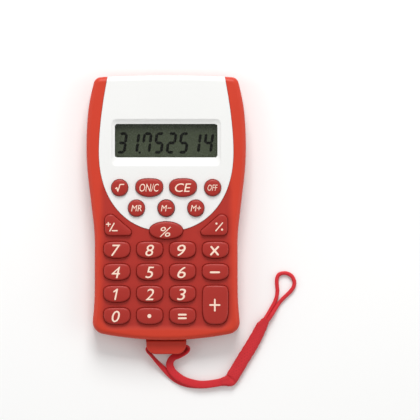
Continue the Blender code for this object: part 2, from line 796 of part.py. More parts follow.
def make_positive_contact():
    """Curved strip beside the cell, with a tail on the board."""
    inner = BATTERY_RADIUS + 0.4
    start, end = POSITIVE_ARC
    strip = arc(0, BATTERY_Y, inner + STRIP, start, end, 6) + arc(0, BATTERY_Y, inner, end, start, 6)
    contact = solid("battery_contact_positive", "contact_nickel", prism(strip, *POSITIVE_Z))
    board_top = BOARD[2][1] + GAP
    tail = box(*POSITIVE_TAIL, board_top, board_top + STRIP)
    combine(contact, "UNION", tool_solid("contact_tail", tail))


def make_screws():
    """Case screws from the back, and board screws under the board."""
    for kind, places, low in (
        ("case", CASE_SCREWS, CASE_HEAD_Z),
        ("board", BOARD_SCREWS, BOARD_HEAD_Z),
    ):
        high = low + HEAD_HEIGHT
        for number, (x, y) in enumerate(places, 1):
            head = circle(x, y, HEAD_RADIUS, SCREW_SIDES)
            shaft = circle(x, y, SCREW_RADIUS, SCREW_SIDES)
            rings = [(head, low), (head, high), (shaft, high), (shaft, SCREW_TOP)]
            solid(f"{kind}_screw_{number}", "screw_zinc", rings, origin=(x, y, low))


# Lanyard.


def smooth_route(route, spacing):
    """Evenly spaced points on a Catmull-Rom curve through the route's own points."""
    points = [Vector(p) for p in route]
    ends = [2 * points[0] - points[1]] + points + [2 * points[-1] - points[-2]]
    fine = []
    steps = 12
    for a, b, c, d in zip(ends, ends[1:], ends[2:], ends[3:]):
        for i in range(steps):
            t = i / steps
            curve = 2 * b + (c - a) * t + (2 * a - 5 * b + 4 * c - d) * t**2
            fine.append((curve + (3 * b - a - 3 * c + d) * t**3) / 2)
    fine.append(points[-1])
    lengths = [0.0]
    for a, b in zip(fine, fine[1:]):
        lengths.append(lengths[-1] + (b - a).length)
    count = max(2, round(lengths[-1] / spacing))
    even, at = [], 0
    for i in range(count + 1):
        wanted = lengths[-1] * i / count
        while at < len(fine) - 2 and lengths[at + 1] < wanted:
            at += 1
        part = (wanted - lengths[at]) / (lengths[at + 1] - lengths[at])
        even.append(fine[at].lerp(fine[at + 1], min(part, 1.0)))
    return even


def make_cord(name, route, diameter, spacing):
    """A round tube along a route, with closed ends."""
    data = bpy.data.curves.new(name, "CURVE")
    data.dimensions = "3D"
    data.bevel_depth = diameter / 2 * MM
    data.bevel_resolution = 2
    data.use_fill_caps = True
    data.render_resolution_u = 0
    points = smooth_route(route, spacing)
    spline = data.splines.new("POLY")
    spline.points.add(len(points) - 1)
    for item, place in zip(spline.points, points):
        item.co = (*(place * MM), 1.0)
    data.materials.append(finish_material("lanyard_woven"))
    result = bpy.data.objects.new(name, data)
    bpy.context.collection.objects.link(result)


def make_sleeve():
    """The flat sleeve: oval sections that turn with the line, mitred at its bend."""
    mesh = bmesh.new()
    rows = []
    centres = [Vector(centre) for centre, half in SLEEVE_LINE]
    for i, (centre, half) in enumerate(SLEEVE_LINE):
        before, after = centres[max(i - 1, 0)], centres[min(i + 1, len(centres) - 1)]
        into, out = centres[i] - before, after - centres[i]
        ahead = (into.normalized() + out.normalized()).normalized()
        row = []
        for side in range(SLEEVE_SIDES):
            angle = math.tau * side / SLEEVE_SIDES
            across = half * math.copysign(abs(math.cos(angle)) ** 0.7, math.cos(angle))
            height = SLEEVE_Z + SLEEVE_HALF_THICKNESS * math.sin(angle)
            place = (centres[i].x + ahead.y * across, centres[i].y - ahead.x * across, height)
            row.append(mesh.verts.new(Vector(place) * MM))
        rows.append(row)
    add_bands(mesh, rows)
    make_object("lanyard_sleeve", mesh, "lanyard_woven")


def main():
    """Builds every piece."""
    clear_scene()
    make_front_shell()
    make_face_panel()
    make_rear_shell()
    make_battery_door()
    make_display()
    make_board()
    make_keypad_mat()
    make_battery()
    make_screws()
    for name, centre, outline in all_keys():
        make_key(name, centre, outline)
    make_cord("lanyard_strap", STRAP_ROUTE, STRAP_THICKNESS, 2.2)
    make_cord("lanyard_loop", LOOP_ROUTE, LOOP_DIAMETER, 2.6)
    make_sleeve()


if __name__ == "__main__":
    main()
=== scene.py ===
"""Pocket calculator with a wrist lanyard: its visible pieces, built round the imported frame.

Sizes are in millimetres, and the loft that makes a piece turns them into metres. Only the
studio is in metres. +X is right as the keys are read, +Y points to the display end, +Z out
of the keys, and the back lies at Z = 0.
"""

import logging
import math
from dataclasses import dataclass
from enum import Enum
from typing import Iterable, Optional, Sequence, Union

import bmesh
import bpy
from mathutils import Matrix, Vector


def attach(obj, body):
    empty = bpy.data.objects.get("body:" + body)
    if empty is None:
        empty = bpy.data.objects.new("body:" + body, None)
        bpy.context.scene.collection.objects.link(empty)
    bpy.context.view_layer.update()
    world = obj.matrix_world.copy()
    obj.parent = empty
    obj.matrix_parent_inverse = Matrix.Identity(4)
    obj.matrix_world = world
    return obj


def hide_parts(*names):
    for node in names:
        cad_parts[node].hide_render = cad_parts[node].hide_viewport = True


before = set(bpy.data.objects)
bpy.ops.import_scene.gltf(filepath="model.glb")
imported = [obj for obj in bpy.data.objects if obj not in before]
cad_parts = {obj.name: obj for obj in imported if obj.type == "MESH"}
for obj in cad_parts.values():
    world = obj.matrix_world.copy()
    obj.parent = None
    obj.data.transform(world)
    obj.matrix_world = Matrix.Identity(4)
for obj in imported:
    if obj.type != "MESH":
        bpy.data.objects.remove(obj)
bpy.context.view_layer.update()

MM = 0.001
SAME_PLACE = 0.000002
FLAT_FACE_WEIGHT = 80
CASE = "case"
LOG = logging.getLogger("calculator")

Flat = tuple[float, float]
Spot = tuple[float, float, float]
Ring = list[Spot]
Piece = bpy.types.Object


# ---------------------------------------------------------------------------
# Outlines
# ---------------------------------------------------------------------------


def arc(centre: Flat, radius: float, start: float, end: float, steps: int) -> list[Flat]:
    """Gives points on part of a circle.

    Args:
        centre: The circle's centre.
        radius: Its radius.
        start: First angle, in degrees.
        end: Last angle, in degrees.
        steps: Number of steps between them.

    Returns:
        The points, steps + 1 of them.
    """
    angles = (math.radians(start + (end - start) * i / steps) for i in range(steps + 1))
    return [(centre[0] + radius * math.cos(a), centre[1] + radius * math.sin(a)) for a in angles]


def circle(centre: Flat, radius: float, sides: int) -> list[Flat]:
    """Gives a closed circle, counter-clockwise."""
    return arc(centre, radius, 0, 360 - 360 / sides, sides - 1)


def bar_outline(start: Flat, end: Flat, radius: float, steps: int) -> list[Flat]:
    """Gives a straight bar with round ends, counter-clockwise.

    Args:
        start: Centre of its first end.
        end: Centre of its second end.
        radius: Half its width.
        steps: Steps of each round end.

    Returns:
        The closed outline.
    """
    angle = math.degrees(math.atan2(end[1] - start[1], end[0] - start[0]))
    far = arc(end, radius, angle - 90, angle + 90, steps)
    near = arc(start, radius, angle + 90, angle + 270, steps)
    return far + near


def shifted(outline: Sequence[Flat], by: Flat) -> list[Flat]:
    """Moves an outline."""
    return [(x + by[0], y + by[1]) for x, y in outline]


def offset(outline: Sequence[Flat], distance: float) -> list[Flat]:
    """Moves a closed counter-clockwise outline inwards.

    Args:
        outline: Its points.
        distance: How far; a negative distance moves it outwards.

    Returns:
        As many points, moved along the corners' bisectors.
    """
    moved = []
    count = len(outline)
    for i, point in enumerate(outline):
        before, after = Vector(outline[i - 1]), Vector(outline[(i + 1) % count])
        here = Vector(point)
        first, second = (here - before).normalized(), (after - here).normalized()
        normals = Vector((-first.y, first.x)), Vector((-second.y, second.x))
        miter = (normals[0] + normals[1]) / max(0.2, 1 + normals[0].dot(normals[1]))
        moved.append((here.x + miter.x * distance, here.y + miter.y * distance))
    return moved


def scaled(outline: Sequence[Flat], centre: Flat, factor: float) -> list[Flat]:
    """Scales an outline about a centre."""
    return [
        (centre[0] + (x - centre[0]) * factor, centre[1] + (y - centre[1]) * factor)
        for x, y in outline
    ]


def rounded_polygon(corners: Sequence[Spot], steps: int) -> list[Flat]:
    """Rounds the corners of a counter-clockwise polygon.

    Args:
        corners: Each corner as x, y and its radius.
        steps: Steps of each corner's arc.

    Returns:
        The closed outline.
    """
    points: list[Flat] = []
    for i, (x, y, radius) in enumerate(corners):
        here = Vector((x, y))
        to_before = (Vector(corners[i - 1][:2]) - here).normalized()
        to_after = (Vector(corners[(i + 1) % len(corners)][:2]) - here).normalized()
        half = to_before.angle(to_after) / 2
        centre = here + (to_before + to_after).normalized() * (radius / math.sin(half))
        first = here + to_before * (radius / math.tan(half)) - centre
        turn = math.copysign(math.pi - 2 * half, to_after.cross(to_before))
        for step in range(steps + 1):
            spun = Matrix.Rotation(turn * step / steps, 2) @ first
            points.append((centre.x + spun.x, centre.y + spun.y))
    return points


def rectangle(half_width: float, span: Flat, radius: float, steps: int = 6) -> list[Flat]:
    """Gives a rectangle with round corners, centred on the Y axis, over a span of Y.

    Args:
        half_width: Half its width.
        span: Its lowest and highest Y.
        radius: Radius of its corners.
        steps: Steps of each corner.

    Returns:
        The closed outline.
    """
    low, high = span
    corners = ((half_width, low), (half_width, high), (-half_width, high), (-half_width, low))
    return rounded_polygon([(x, y, radius) for x, y in corners], steps)


def egg(centre: Flat, half: Flat, powers: Flat, sides: int) -> list[Flat]:
    """Gives a superellipse whose upper and lower halves may differ.

    Args:
        centre: Its centre.
        half: Half its width and half its height.
        powers: The powers of the upper and the lower half; 2 is round.
        sides: How many points.

    Returns:
        The closed outline, counter-clockwise.
    """
    points = []
    for i in range(sides):
        angle = math.tau * i / sides
        cosine, sine = math.cos(angle), math.sin(angle)
        power = powers[0] if sine >= 0 else powers[1]
        x = half[0] * math.copysign(abs(cosine) ** (2 / power), cosine)
        y = half[1] * math.copysign(abs(sine) ** (2 / power), sine)
        points.append((centre[0] + x, centre[1] + y))
    return points


def even(outline: Sequence[Flat], count: int) -> list[Flat]:
    """Spreads points evenly round a closed outline.

    Args:
        outline: The outline's own points.
        count: How many points are wanted.

    Returns:
        The new points, from the same first one.
    """
    closed = [Vector(p) for p in outline] + [Vector(outline[0])]
    lengths = [0.0]
    for a, b in zip(closed, closed[1:]):
        lengths.append(lengths[-1] + (b - a).length)
    spread, at = [], 0
    for i in range(count):
        wanted = lengths[-1] * i / count
        while lengths[at + 1] < wanted:
            at += 1
        part = (wanted - lengths[at]) / (lengths[at + 1] - lengths[at])
        spread.append(tuple(closed[at].lerp(closed[at + 1], part)))
    return spread


def smooth_line(points: Sequence[Vector], steps: int, closed: bool = False) -> list[Vector]:
    """Runs a smooth curve through points, with chords of any length.

    Args:
        points: The points that it passes through.
        steps: How many pieces each span is cut into.
        closed: Whether it comes back to the first point.

    Returns:
        The curve's points.
    """
    count = len(points)
    if closed:
        padded = [points[-1], *points, points[0], points[1 % count]]
    else:
        padded = [2 * points[0] - points[1], *points, 2 * points[-1] - points[-2]]
    curve = []
    for a, b, c, d in zip(padded, padded[1:], padded[2:], padded[3:]):
        spans = [max(1e-6, math.sqrt((q - p).length)) for p, q in ((a, b), (b, c), (c, d))]
        lead = (b - a) / spans[0] - (c - a) / (spans[0] + spans[1]) + (c - b) / spans[1]
        tail = (c - b) / spans[1] - (d - b) / (spans[1] + spans[2]) + (d - c) / spans[2]
        start, end = lead * spans[1], tail * spans[1]
        for i in range(steps):
            t = i / steps
            curve.append(
                b * (2 * t**3 - 3 * t**2 + 1)
                + start * (t**3 - 2 * t**2 + t)
                + c * (3 * t**2 - 2 * t**3)
                + end * (t**3 - t**2)
            )
    if not closed:
        curve.append(points[-1].copy())
    return curve


def at_height(outline: Sequence[Flat], z: float) -> Ring:
    """Puts an outline at a height."""
    return [(x, y, z) for x, y in outline]


def edge_rings(
    outline: Sequence[Flat],
    z: float,
    radius: float,
    steps: int,
    flared: bool = False,
    under: bool = False,
) -> list[Ring]:
    """Gives the rings of a round edge, from the lowest to the highest.

    Args:
        outline: The outline of the side that the edge ends.
        z: Height at which the side meets the edge.
        radius: The edge's radius.
        steps: How many rings it has.
        flared: Whether it opens outwards, as at the mouth of an opening.
        under: Whether it lies below the side instead of above it.

    Returns:
        The rings, without the side's own.
    """
    angles = [math.pi / 2 * i / steps for i in range(1, steps + 1)]
    outward, down = (-1 if flared else 1), (-1 if under else 1)
    rings = [
        at_height(offset(outline, outward * radius * (1 - math.cos(a))), z + down * radius * math.sin(a))
        for a in angles
    ]
    return rings[::-1] if under else rings


# ---------------------------------------------------------------------------
# Bench work: lofts, cuts and shading
# ---------------------------------------------------------------------------


def take_up(*pieces: Piece) -> None:
    """Selects these pieces and nothing else; the first becomes the active one."""
    bpy.ops.object.select_all(action="DESELECT")
    for piece in pieces:
        piece.select_set(True)
    bpy.context.view_layer.objects.active = pieces[0]


def loft(name: str, rings: Sequence[Ring]) -> Piece:
    """Makes a closed body from a filled circle that is extruded from ring to ring.

    Args:
        name: The piece's name.
        rings: Rings with equal numbers of points, in millimetres, in order.

    Returns:
        The new piece, whose vertex i of ring k has the index k * n + i.
    """
    bpy.ops.object.select_all(action="DESELECT")
    bpy.ops.mesh.primitive_circle_add(vertices=len(rings[0]), radius=MM, fill_type="NGON")
    piece = bpy.context.object
    piece.name = piece.data.name = name
    for vertex, point in zip(piece.data.vertices, rings[0]):
        vertex.co = Vector(point) * MM
    bpy.ops.object.mode_set(mode="EDIT")
    bpy.ops.mesh.select_all(action="SELECT")
    for ring in rings[1:]:
        bpy.ops.mesh.extrude_region()
        mesh = bmesh.from_edit_mesh(piece.data)
        fresh = [vertex for vertex in mesh.verts if vertex.select]
        for vertex, point in zip(fresh, ring):
            vertex.co = Vector(point) * MM
        bmesh.update_edit_mesh(piece.data)
    bpy.ops.mesh.select_all(action="SELECT")
    bpy.ops.mesh.normals_make_consistent(inside=False)
    bpy.ops.object.mode_set(mode="OBJECT")
    return piece


def prism(name: str, outline: Sequence[Flat], low: float, high: float) -> Piece:
    """Makes a straight-sided body."""
    return loft(name, [at_height(outline, low), at_height(outline, high)])


def block(name: str, span_x: Flat, span_y: Flat, span_z: Flat) -> Piece:
    """Makes a straight block, as a tool for cuts."""
    (left, right), (front, back) = span_x, span_y
    return prism(name, [(left, front), (right, front), (right, back), (left, back)], *span_z)


def merge(pieces: Sequence[Piece], name: str) -> Piece:
    """Joins separate bodies into one object.

    Args:
        pieces: The bodies.
        name: The object's name.

    Returns:
        The object, which is the first of the bodies.
    """
    take_up(*pieces)
    if len(pieces) > 1:
        bpy.ops.object.join()
    pieces[0].name = pieces[0].data.name = name
    return pieces[0]


def combine(target: Piece, operation: str, *tools: Piece) -> None:
    """Applies a Boolean with tools that are then removed.

    Args:
        target: The piece that changes.
        operation: DIFFERENCE, UNION or INTERSECT.
        *tools: The bodies to cut or join with, which don't touch each other.
    """
    tool = merge(list(tools), "tool")
    take_up(target)
    modifier = target.modifiers.new("shape", "BOOLEAN")
    modifier.operation = operation
    modifier.solver = "EXACT"
    modifier.object = tool
    bpy.ops.object.modifier_apply(modifier=modifier.name)
    bpy.data.objects.remove(tool, do_unlink=True)


def shade(piece: Piece, angle: float = 32.0, weighted: bool = True) -> None:
    """Shades a piece smooth.

    Args:
        piece: The piece.
        angle: Edges sharper than this, in degrees, stay sharp.
        weighted: Whether large flat faces are kept flat up to their edges.
    """
    take_up(piece)
    bpy.ops.object.mode_set(mode="EDIT")
    bpy.ops.mesh.select_all(action="SELECT")
    bpy.ops.mesh.remove_doubles(threshold=SAME_PLACE)
    bpy.ops.object.mode_set(mode="OBJECT")
    bpy.ops.object.shade_smooth_by_angle(angle=math.radians(angle))
    if weighted:
        modifier = piece.modifiers.new("faces", "WEIGHTED_NORMAL")
        modifier.keep_sharp = True
        modifier.weight = FLAT_FACE_WEIGHT
        bpy.ops.object.modifier_apply(modifier=modifier.name)


def map_along(piece: Piece, sides: int, step: float, around: float) -> None:
    """Gives a swept piece a map in millimetres, along its route and round its section.

    Args:
        piece: A loft of sections.
        sides: Points in a section.
        step: Distance between sections.
        around: Distance between the points of a section.
    """
    layer = piece.data.uv_layers.new(name="along")
    for face in piece.data.polygons:
        columns = [vertex % sides for vertex in face.vertices]
        wraps = 0 in columns and sides - 1 in columns and len(columns) == 4
        for loop, vertex, column in zip(face.loop_indices, face.vertices, columns):
            turn = sides if wraps and column == 0 else column
            layer.data[loop].uv = (vertex // sides * step, turn * around)


def finish_piece(
    piece: Piece,
    body: str,
    finish: "Finish",
    nodes: Iterable[str] = (),
) -> Piece:
    """Dresses a finished piece and hands it to its body.

    Args:
        piece: The piece, in place.
        body: The body that it moves with.
        finish: Its finish.
        nodes: The frame's nodes that it stands for.

    Returns:
        The piece.
    """
    piece.data.materials.clear()
    piece.data.materials.append(finish.material())
    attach(piece, body)
    names = tuple(nodes)
    if names:
        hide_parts(*names)
    LOG.info("%s: %d faces", piece.name, len(piece.data.polygons))
    return piece


# ---------------------------------------------------------------------------
# Finishes
# ---------------------------------------------------------------------------

USUAL_NOISE: Flat = (0.3, 0.7)
Socket = bpy.types.NodeSocket
Value = Union[float, tuple, Vector, Socket]


def linear(red: int, green: int, blue: int) -> tuple[float, float, float, float]:
    """Turns a display colour, 0 to 255, into a linear one."""
    parts = (part / 255 for part in (red, green, blue))
    return (*(p / 12.92 if p <= 0.04 else ((p + 0.055) / 1.055) ** 2.4 for p in parts), 1.0)


def dimmed(colour: Sequence[float], factor: float, lift: float = 0.0) -> tuple[float, ...]:
    """Scales a linear colour, adds a little and keeps it opaque."""
    return (*(min(1.0, part * factor + lift) for part in colour[:3]), 1.0)


class NodeBench:
    """Adds and joins the nodes of one tree."""

    def __init__(self, tree: bpy.types.NodeTree) -> None:
        """Starts on a tree."""
        self.tree = tree

    def add(
        self,
        kind: str,
        inputs: Optional[dict[Union[str, int], Value]] = None,
        **settings: object,
    ) -> bpy.types.Node:
        """Adds a node.

        Args:
            kind: The node's type.
            inputs: Values or sockets for its inputs.
            **settings: The node's own settings.

        Returns:
            The node.
        """
        node = self.tree.nodes.new(kind)
        for key, value in settings.items():
            setattr(node, key, value)
        self.fill(node, inputs or {})
        return node

    def fill(self, node: bpy.types.Node, inputs: dict[Union[str, int], Value]) -> None:
        """Joins sockets to a node's inputs, and sets plain values on them."""
        for key, value in inputs.items():
            if isinstance(value, Socket):
                self.tree.links.new(value, node.inputs[key])
            else:
                node.inputs[key].default_value = value

    def place(self) -> Socket:
        """Returns the place on the object, in metres."""
        return self.add("ShaderNodeTexCoord").outputs["Object"]

    def parts(self, vector: Value) -> Sequence[Socket]:
        """Returns a vector's three parts."""
        return self.add("ShaderNodeSeparateXYZ", {0: vector}).outputs

    def sum(self, operation: str, *values: Value, clamp: bool = False) -> Socket:
        """Does arithmetic on values or sockets and returns the result's socket."""
        inputs = dict(enumerate(values))
        return self.add("ShaderNodeMath", inputs, operation=operation, use_clamp=clamp).outputs[0]

    def blend(self, factor: Value, first: Value, second: Value, mode: str = "MIX") -> Socket:
        """Mixes two colours and returns the result's socket."""
        inputs = {0: factor, 6: first, 7: second}
        return self.add("ShaderNodeMix", inputs, data_type="RGBA", blend_type=mode).outputs[2]

    def shaded(self, colour: Value, level: Value) -> Socket:
        """Multiplies a colour by a level and returns the result's socket."""
        grey = self.add("ShaderNodeCombineColor", {0: level, 1: level, 2: level}).outputs[0]
        return self.blend(1.0, colour, grey, "MULTIPLY")

    def bump(self, height: Value, depth: float, strength: float = 1.0) -> Socket:
        """Turns a height, and its depth in millimetres, into a normal."""
        inputs = {"Strength": strength, "Distance": depth * MM, "Height": height}
        return self.add("ShaderNodeBump", inputs).outputs[0]

    def noise(self, place: Value, scale: Value, detail: float = 2.0, rough: float = 0.5) -> Socket:
        """Adds a noise texture and returns its value."""
        inputs = {"Vector": place, "Scale": scale, "Detail": detail, "Roughness": rough}
        return self.add("ShaderNodeTexNoise", inputs).outputs[0]

    def remap(self, value: Value, source: Flat, target: Flat, smooth: bool = False) -> Socket:
        """Maps one range to another and returns the result's socket."""
        kind = "SMOOTHSTEP" if smooth else "LINEAR"
        inputs = {0: value, 1: source[0], 2: source[1], 3: target[0], 4: target[1]}
        return self.add("ShaderNodeMapRange", inputs, interpolation_type=kind).outputs[0]


def new_group(
    name: str,
    inputs: Sequence[tuple[str, str, object]],
    outputs: Sequence[tuple[str, str]],
) -> tuple[bpy.types.NodeTree, NodeBench, bpy.types.Node, bpy.types.Node]:
    """Starts a node group.

    Args:
        name: Its name.
        inputs: Name, socket type and default of each input.
        outputs: Name and socket type of each output.

    Returns:
        The group, a bench on it, its input node and its output node.
    """
    group = bpy.data.node_groups.new(name, "ShaderNodeTree")
    for label, kind, default in inputs:
        group.interface.new_socket(label, in_out="INPUT", socket_type=kind).default_value = default
    for label, kind in outputs:
        group.interface.new_socket(label, in_out="OUTPUT", socket_type=kind)
    bench = NodeBench(group)
    return group, bench, bench.add("NodeGroupInput"), bench.add("NodeGroupOutput")


class Effect(Enum):
    """The effects that several finishes share, each one node group."""

    MOULDED_SKIN = "moulded_skin"
    FINE_SCUFFS = "fine_scuffs"
    BRAID = "braid"

    def group(self) -> bpy.types.NodeTree:
        """Returns the effect's node group, made once."""
        return bpy.data.node_groups.get(self.value) or getattr(self, "_" + self.value)()

    @staticmethod
    def _moulded_skin() -> bpy.types.NodeTree:
        """Colour that drifts a little, and a fine spark-eroded grain."""
        group, bench, given, result = new_group(
            Effect.MOULDED_SKIN.value,
            [
                ("Color", "NodeSocketColor", (0.5, 0.5, 0.5, 1.0)),
                ("Drift", "NodeSocketFloat", 0.04),
                ("Grain Scale", "NodeSocketFloat", 3500.0),
            ],
            [("Color", "NodeSocketColor"), ("Mottle", "NodeSocketFloat"), ("Grain", "NodeSocketFloat")],
        )
        place = bench.place()
        broad = bench.noise(place, 55.0, 2.0)
        middle = bench.noise(place, 420.0, 3.0, 0.6)
        shares = bench.sum("MULTIPLY", broad, 0.65), bench.sum("MULTIPLY", middle, 0.35)
        mottle = bench.sum("ADD", *shares)
        swing = bench.sum("MULTIPLY", bench.sum("SUBTRACT", mottle, 0.5), given.outputs["Drift"])
        level = bench.sum("ADD", bench.sum("MULTIPLY", swing, 2.0), 1.0)
        colour = bench.shaded(given.outputs["Color"], level)
        fine = bench.noise(place, given.outputs["Grain Scale"], 2.0, 0.6)
        bench.fill(result, {"Color": colour, "Mottle": mottle, "Grain": fine})
        return group

    @staticmethod
    def _fine_scuffs() -> bpy.types.NodeTree:
        """Sparse hairline marks from handling, in two directions."""
        group, bench, given, result = new_group(
            Effect.FINE_SCUFFS.value,
            [("Amount", "NodeSocketFloat", 0.5)],
            [("Mask", "NodeSocketFloat")],
        )
        place = bench.place()
        slender = 26
        marks = []
        for turn, spread in ((0.5, 60.0), (-0.9, 45.0)):
            scale = (spread, spread * slender, spread)
            mapping = {"Vector": place, "Rotation": (0.0, 0.0, turn), "Scale": scale}
            mapped = bench.add("ShaderNodeMapping", mapping).outputs[0]
            lines = bench.noise(mapped, 1.0, 2.0, 0.4)
            marks.append(bench.remap(lines, (0.66, 0.72), (0.0, 1.0)))
        patches = bench.remap(bench.noise(place, 90.0, 1.0), (0.5, 0.7), (0.0, 1.0), True)
        either = bench.sum("MAXIMUM", *marks)
        mask = bench.sum("MULTIPLY", bench.sum("MULTIPLY", either, patches), given.outputs["Amount"])
        bench.fill(result, {"Mask": mask})
        return group

    @staticmethod
    def _braid() -> bpy.types.NodeTree:
        """Two families of threads that cross, on a UV map in millimetres."""
        group, bench, given, result = new_group(
            Effect.BRAID.value,
            [("Stitch", "NodeSocketFloat", 0.9), ("Gauge", "NodeSocketFloat", 0.55)],
            [("Height", "NodeSocketFloat"), ("Fibre", "NodeSocketFloat")],
        )
        place = bench.add("ShaderNodeUVMap", uv_map="along").outputs[0]
        parts = bench.parts(place)
        along = bench.sum("DIVIDE", parts[0], given.outputs["Stitch"])
        across = bench.sum("DIVIDE", parts[1], given.outputs["Gauge"])
        families = []
        for operation in ("ADD", "SUBTRACT"):
            phase = bench.sum("MULTIPLY", bench.sum(operation, along, across), math.pi)
            wave = bench.sum("SINE", phase)
            families.append(bench.sum("POWER", bench.sum("ABSOLUTE", wave), 0.6))
        turns = [bench.sum("SINE", bench.sum("MULTIPLY", way, math.tau)) for way in (along, across)]
        over = bench.remap(bench.sum("MULTIPLY", *turns), (-0.3, 0.3), (0.0, 1.0), True)
        first = bench.sum("MULTIPLY", families[0], over)
        second = bench.sum("MULTIPLY", families[1], bench.sum("SUBTRACT", 1.0, over))
        height = bench.sum("ADD", first, second)
        mapping = {"Vector": place, "Rotation": (0.0, 0.0, 0.55), "Scale": (2.2, 16.0, 1.0)}
        stretched = bench.add("ShaderNodeMapping", mapping).outputs[0]
        fibre = bench.noise(stretched, 1.0, 3.0, 0.6)
        bench.fill(result, {"Height": height, "Fibre": fibre})
        return group


@dataclass(frozen=True)
class Finish:
    """A finish: its own name, the record's slot name, which is not used, and its colour."""

    name: str
    slot: str
    colour: tuple[int, int, int]
    roughness: float = 0.4

    def material(self) -> bpy.types.Material:
        """Returns the finish's material, made once."""
        label = self.name + "_finish"
        known = bpy.data.materials.get(label)
        if known:
            return known
        made = bpy.data.materials.new(label)
        made.use_nodes = True
        bench = NodeBench(made.node_tree)
        shader = made.node_tree.nodes["Principled BSDF"]
        made.diffuse_color = linear(*self.colour)
        self.dress(bench, shader)
        return made

    def dress(self, bench: NodeBench, shader: bpy.types.Node) -> None:
        """Adds the nodes of this kind of finish to a new material.

        Args:
            bench: A bench on the material's nodes.
            shader: Its shader.
        """
        raise NotImplementedError

    def gloss(self, bench: NodeBench, pattern: Value, source: Flat, swing: Flat) -> Socket:
        """Returns a roughness that follows a pattern.

        Args:
            bench: The material's bench.
            pattern: The pattern, mostly between source's two values.
            source: Its usual lowest and highest value.
            swing: What each of them adds to the finish's own roughness.

        Returns:
            The roughness.
        """
        return bench.remap(pattern, source, (self.roughness + swing[0], self.roughness + swing[1]))


@dataclass(frozen=True)
class Moulded(Finish):
    """Moulded plastic or rubber, with drift, grain and a few handling marks."""

    drift: float = 0.05
    grain_scale: float = 3500.0
    grain_depth: float = 0.012
    scuffs: float = 0.5
    coat: float = 0.0
    specular: float = 0.5

    def body_colour(self, bench: NodeBench) -> Value:
        """Returns the colour before it drifts."""
        return linear(*self.colour)

    def dress(self, bench: NodeBench, shader: bpy.types.Node) -> None:
        """Adds drift to the colour, marks to the roughness and grain to the normal."""
        given = {"Color": self.body_colour(bench), "Drift": self.drift, "Grain Scale": self.grain_scale}
        skin = bench.add("ShaderNodeGroup", given, node_tree=Effect.MOULDED_SKIN.group()).outputs
        scuffs = Effect.FINE_SCUFFS.group()
        marks = bench.add("ShaderNodeGroup", {"Amount": self.scuffs}, node_tree=scuffs).outputs["Mask"]
        spread = self.gloss(bench, skin["Mottle"], USUAL_NOISE, (-0.04, 0.04))
        rough = bench.sum("ADD", spread, bench.sum("MULTIPLY", marks, 0.16), clamp=True)
        bench.fill(
            shader,
            {
                "Base Color": skin["Color"],
                "Roughness": rough,
                "Normal": bench.bump(skin["Grain"], self.grain_depth),
                "Specular IOR Level": self.specular,
                "Coat Weight": self.coat,
                "Coat Roughness": 0.12,
            },
        )


@dataclass(frozen=True)
class Fielded(Moulded):
    """Moulded plastic with painted shade that darkens its keypad field, between the keys, against its
    border.
    """

    # Colour of the painted shade over the keypad field, where the keys shade the face.
    field_colour: tuple[int, int, int] = (171, 40, 28)
    field_half: Flat = (27.6, 32.9)
    field_y: float = -15.6
    corner: float = 5.0
    soft: float = 3.4
    raised: Flat = (8.6, 9.4)

    def body_colour(self, bench: NodeBench) -> Value:
        """Blends from the border to the painted shade of the field inside a soft-edged rounded box.

        Args:
            bench: The material's bench.

        Returns:
            The colour's socket.
        """
        parts = bench.parts(bench.place())
        corner = self.corner * MM
        reaches = []
        for socket, middle, half in (
            (parts[0], 0.0, self.field_half[0]),
            (parts[1], self.field_y, self.field_half[1]),
        ):
            away = bench.sum("ABSOLUTE", bench.sum("SUBTRACT", socket, middle * MM))
            reaches.append(bench.sum("MAXIMUM", bench.sum("SUBTRACT", away, half * MM - corner), 0.0))
        squares = [bench.sum("MULTIPLY", reach, reach) for reach in reaches]
        far = bench.sum("SQRT", bench.sum("ADD", *squares))
        beyond = bench.sum("SUBTRACT", far, corner)
        inside = bench.remap(beyond, (self.soft * MM / 2, -self.soft * MM / 2), (0.0, 1.0), True)
        low, high = self.raised
        above = bench.remap(parts[2], (low * MM, high * MM), (0.0, 1.0))
        # The painted shade is laid only on the face, round and between the keys.
        mask = bench.sum("MULTIPLY", inside, above)
        return bench.blend(mask, linear(*self.colour), linear(*self.field_colour))


@dataclass(frozen=True)
class Woven(Finish):
    """Braided synthetic tape, which follows its piece's own map."""

    stitch: float = 0.9
    gauge: float = 0.55
    depth: float = 0.08

    def dress(self, bench: NodeBench, shader: bpy.types.Node) -> None:
        """Paints shade into the gaps between threads and a highlight on their crests, raises the threads
        and gives them sheen.
        """
        gauges = {"Stitch": self.stitch, "Gauge": self.gauge}
        braid = bench.add("ShaderNodeGroup", gauges, node_tree=Effect.BRAID.group()).outputs
        base = linear(*self.colour)
        # Painted shade in the gaps between threads and painted highlight on their crests.
        gap_shade, light = dimmed(base, 0.55), dimmed(base, 1.12, 0.004)
        colour = bench.blend(bench.remap(braid["Height"], (0.1, 0.85), (0.15, 1.0)), gap_shade, light)
        fibre = bench.remap(braid["Fibre"], (0.25, 0.75), (0.86, 1.1))
        mixed = bench.sum("ADD", braid["Height"], bench.sum("MULTIPLY", braid["Fibre"], 0.35))
        bench.fill(
            shader,
            {
                "Base Color": bench.shaded(colour, fibre),
                "Roughness": self.gloss(bench, braid["Fibre"], USUAL_NOISE, (-0.08, 0.08)),
                "Normal": bench.bump(mixed, self.depth),
                "Sheen Weight": 0.25,
                "Sheen Roughness": 0.4,
                "Sheen Tint": (1.0, 0.55, 0.5, 1.0),
                "Specular IOR Level": 0.35,
            },
        )


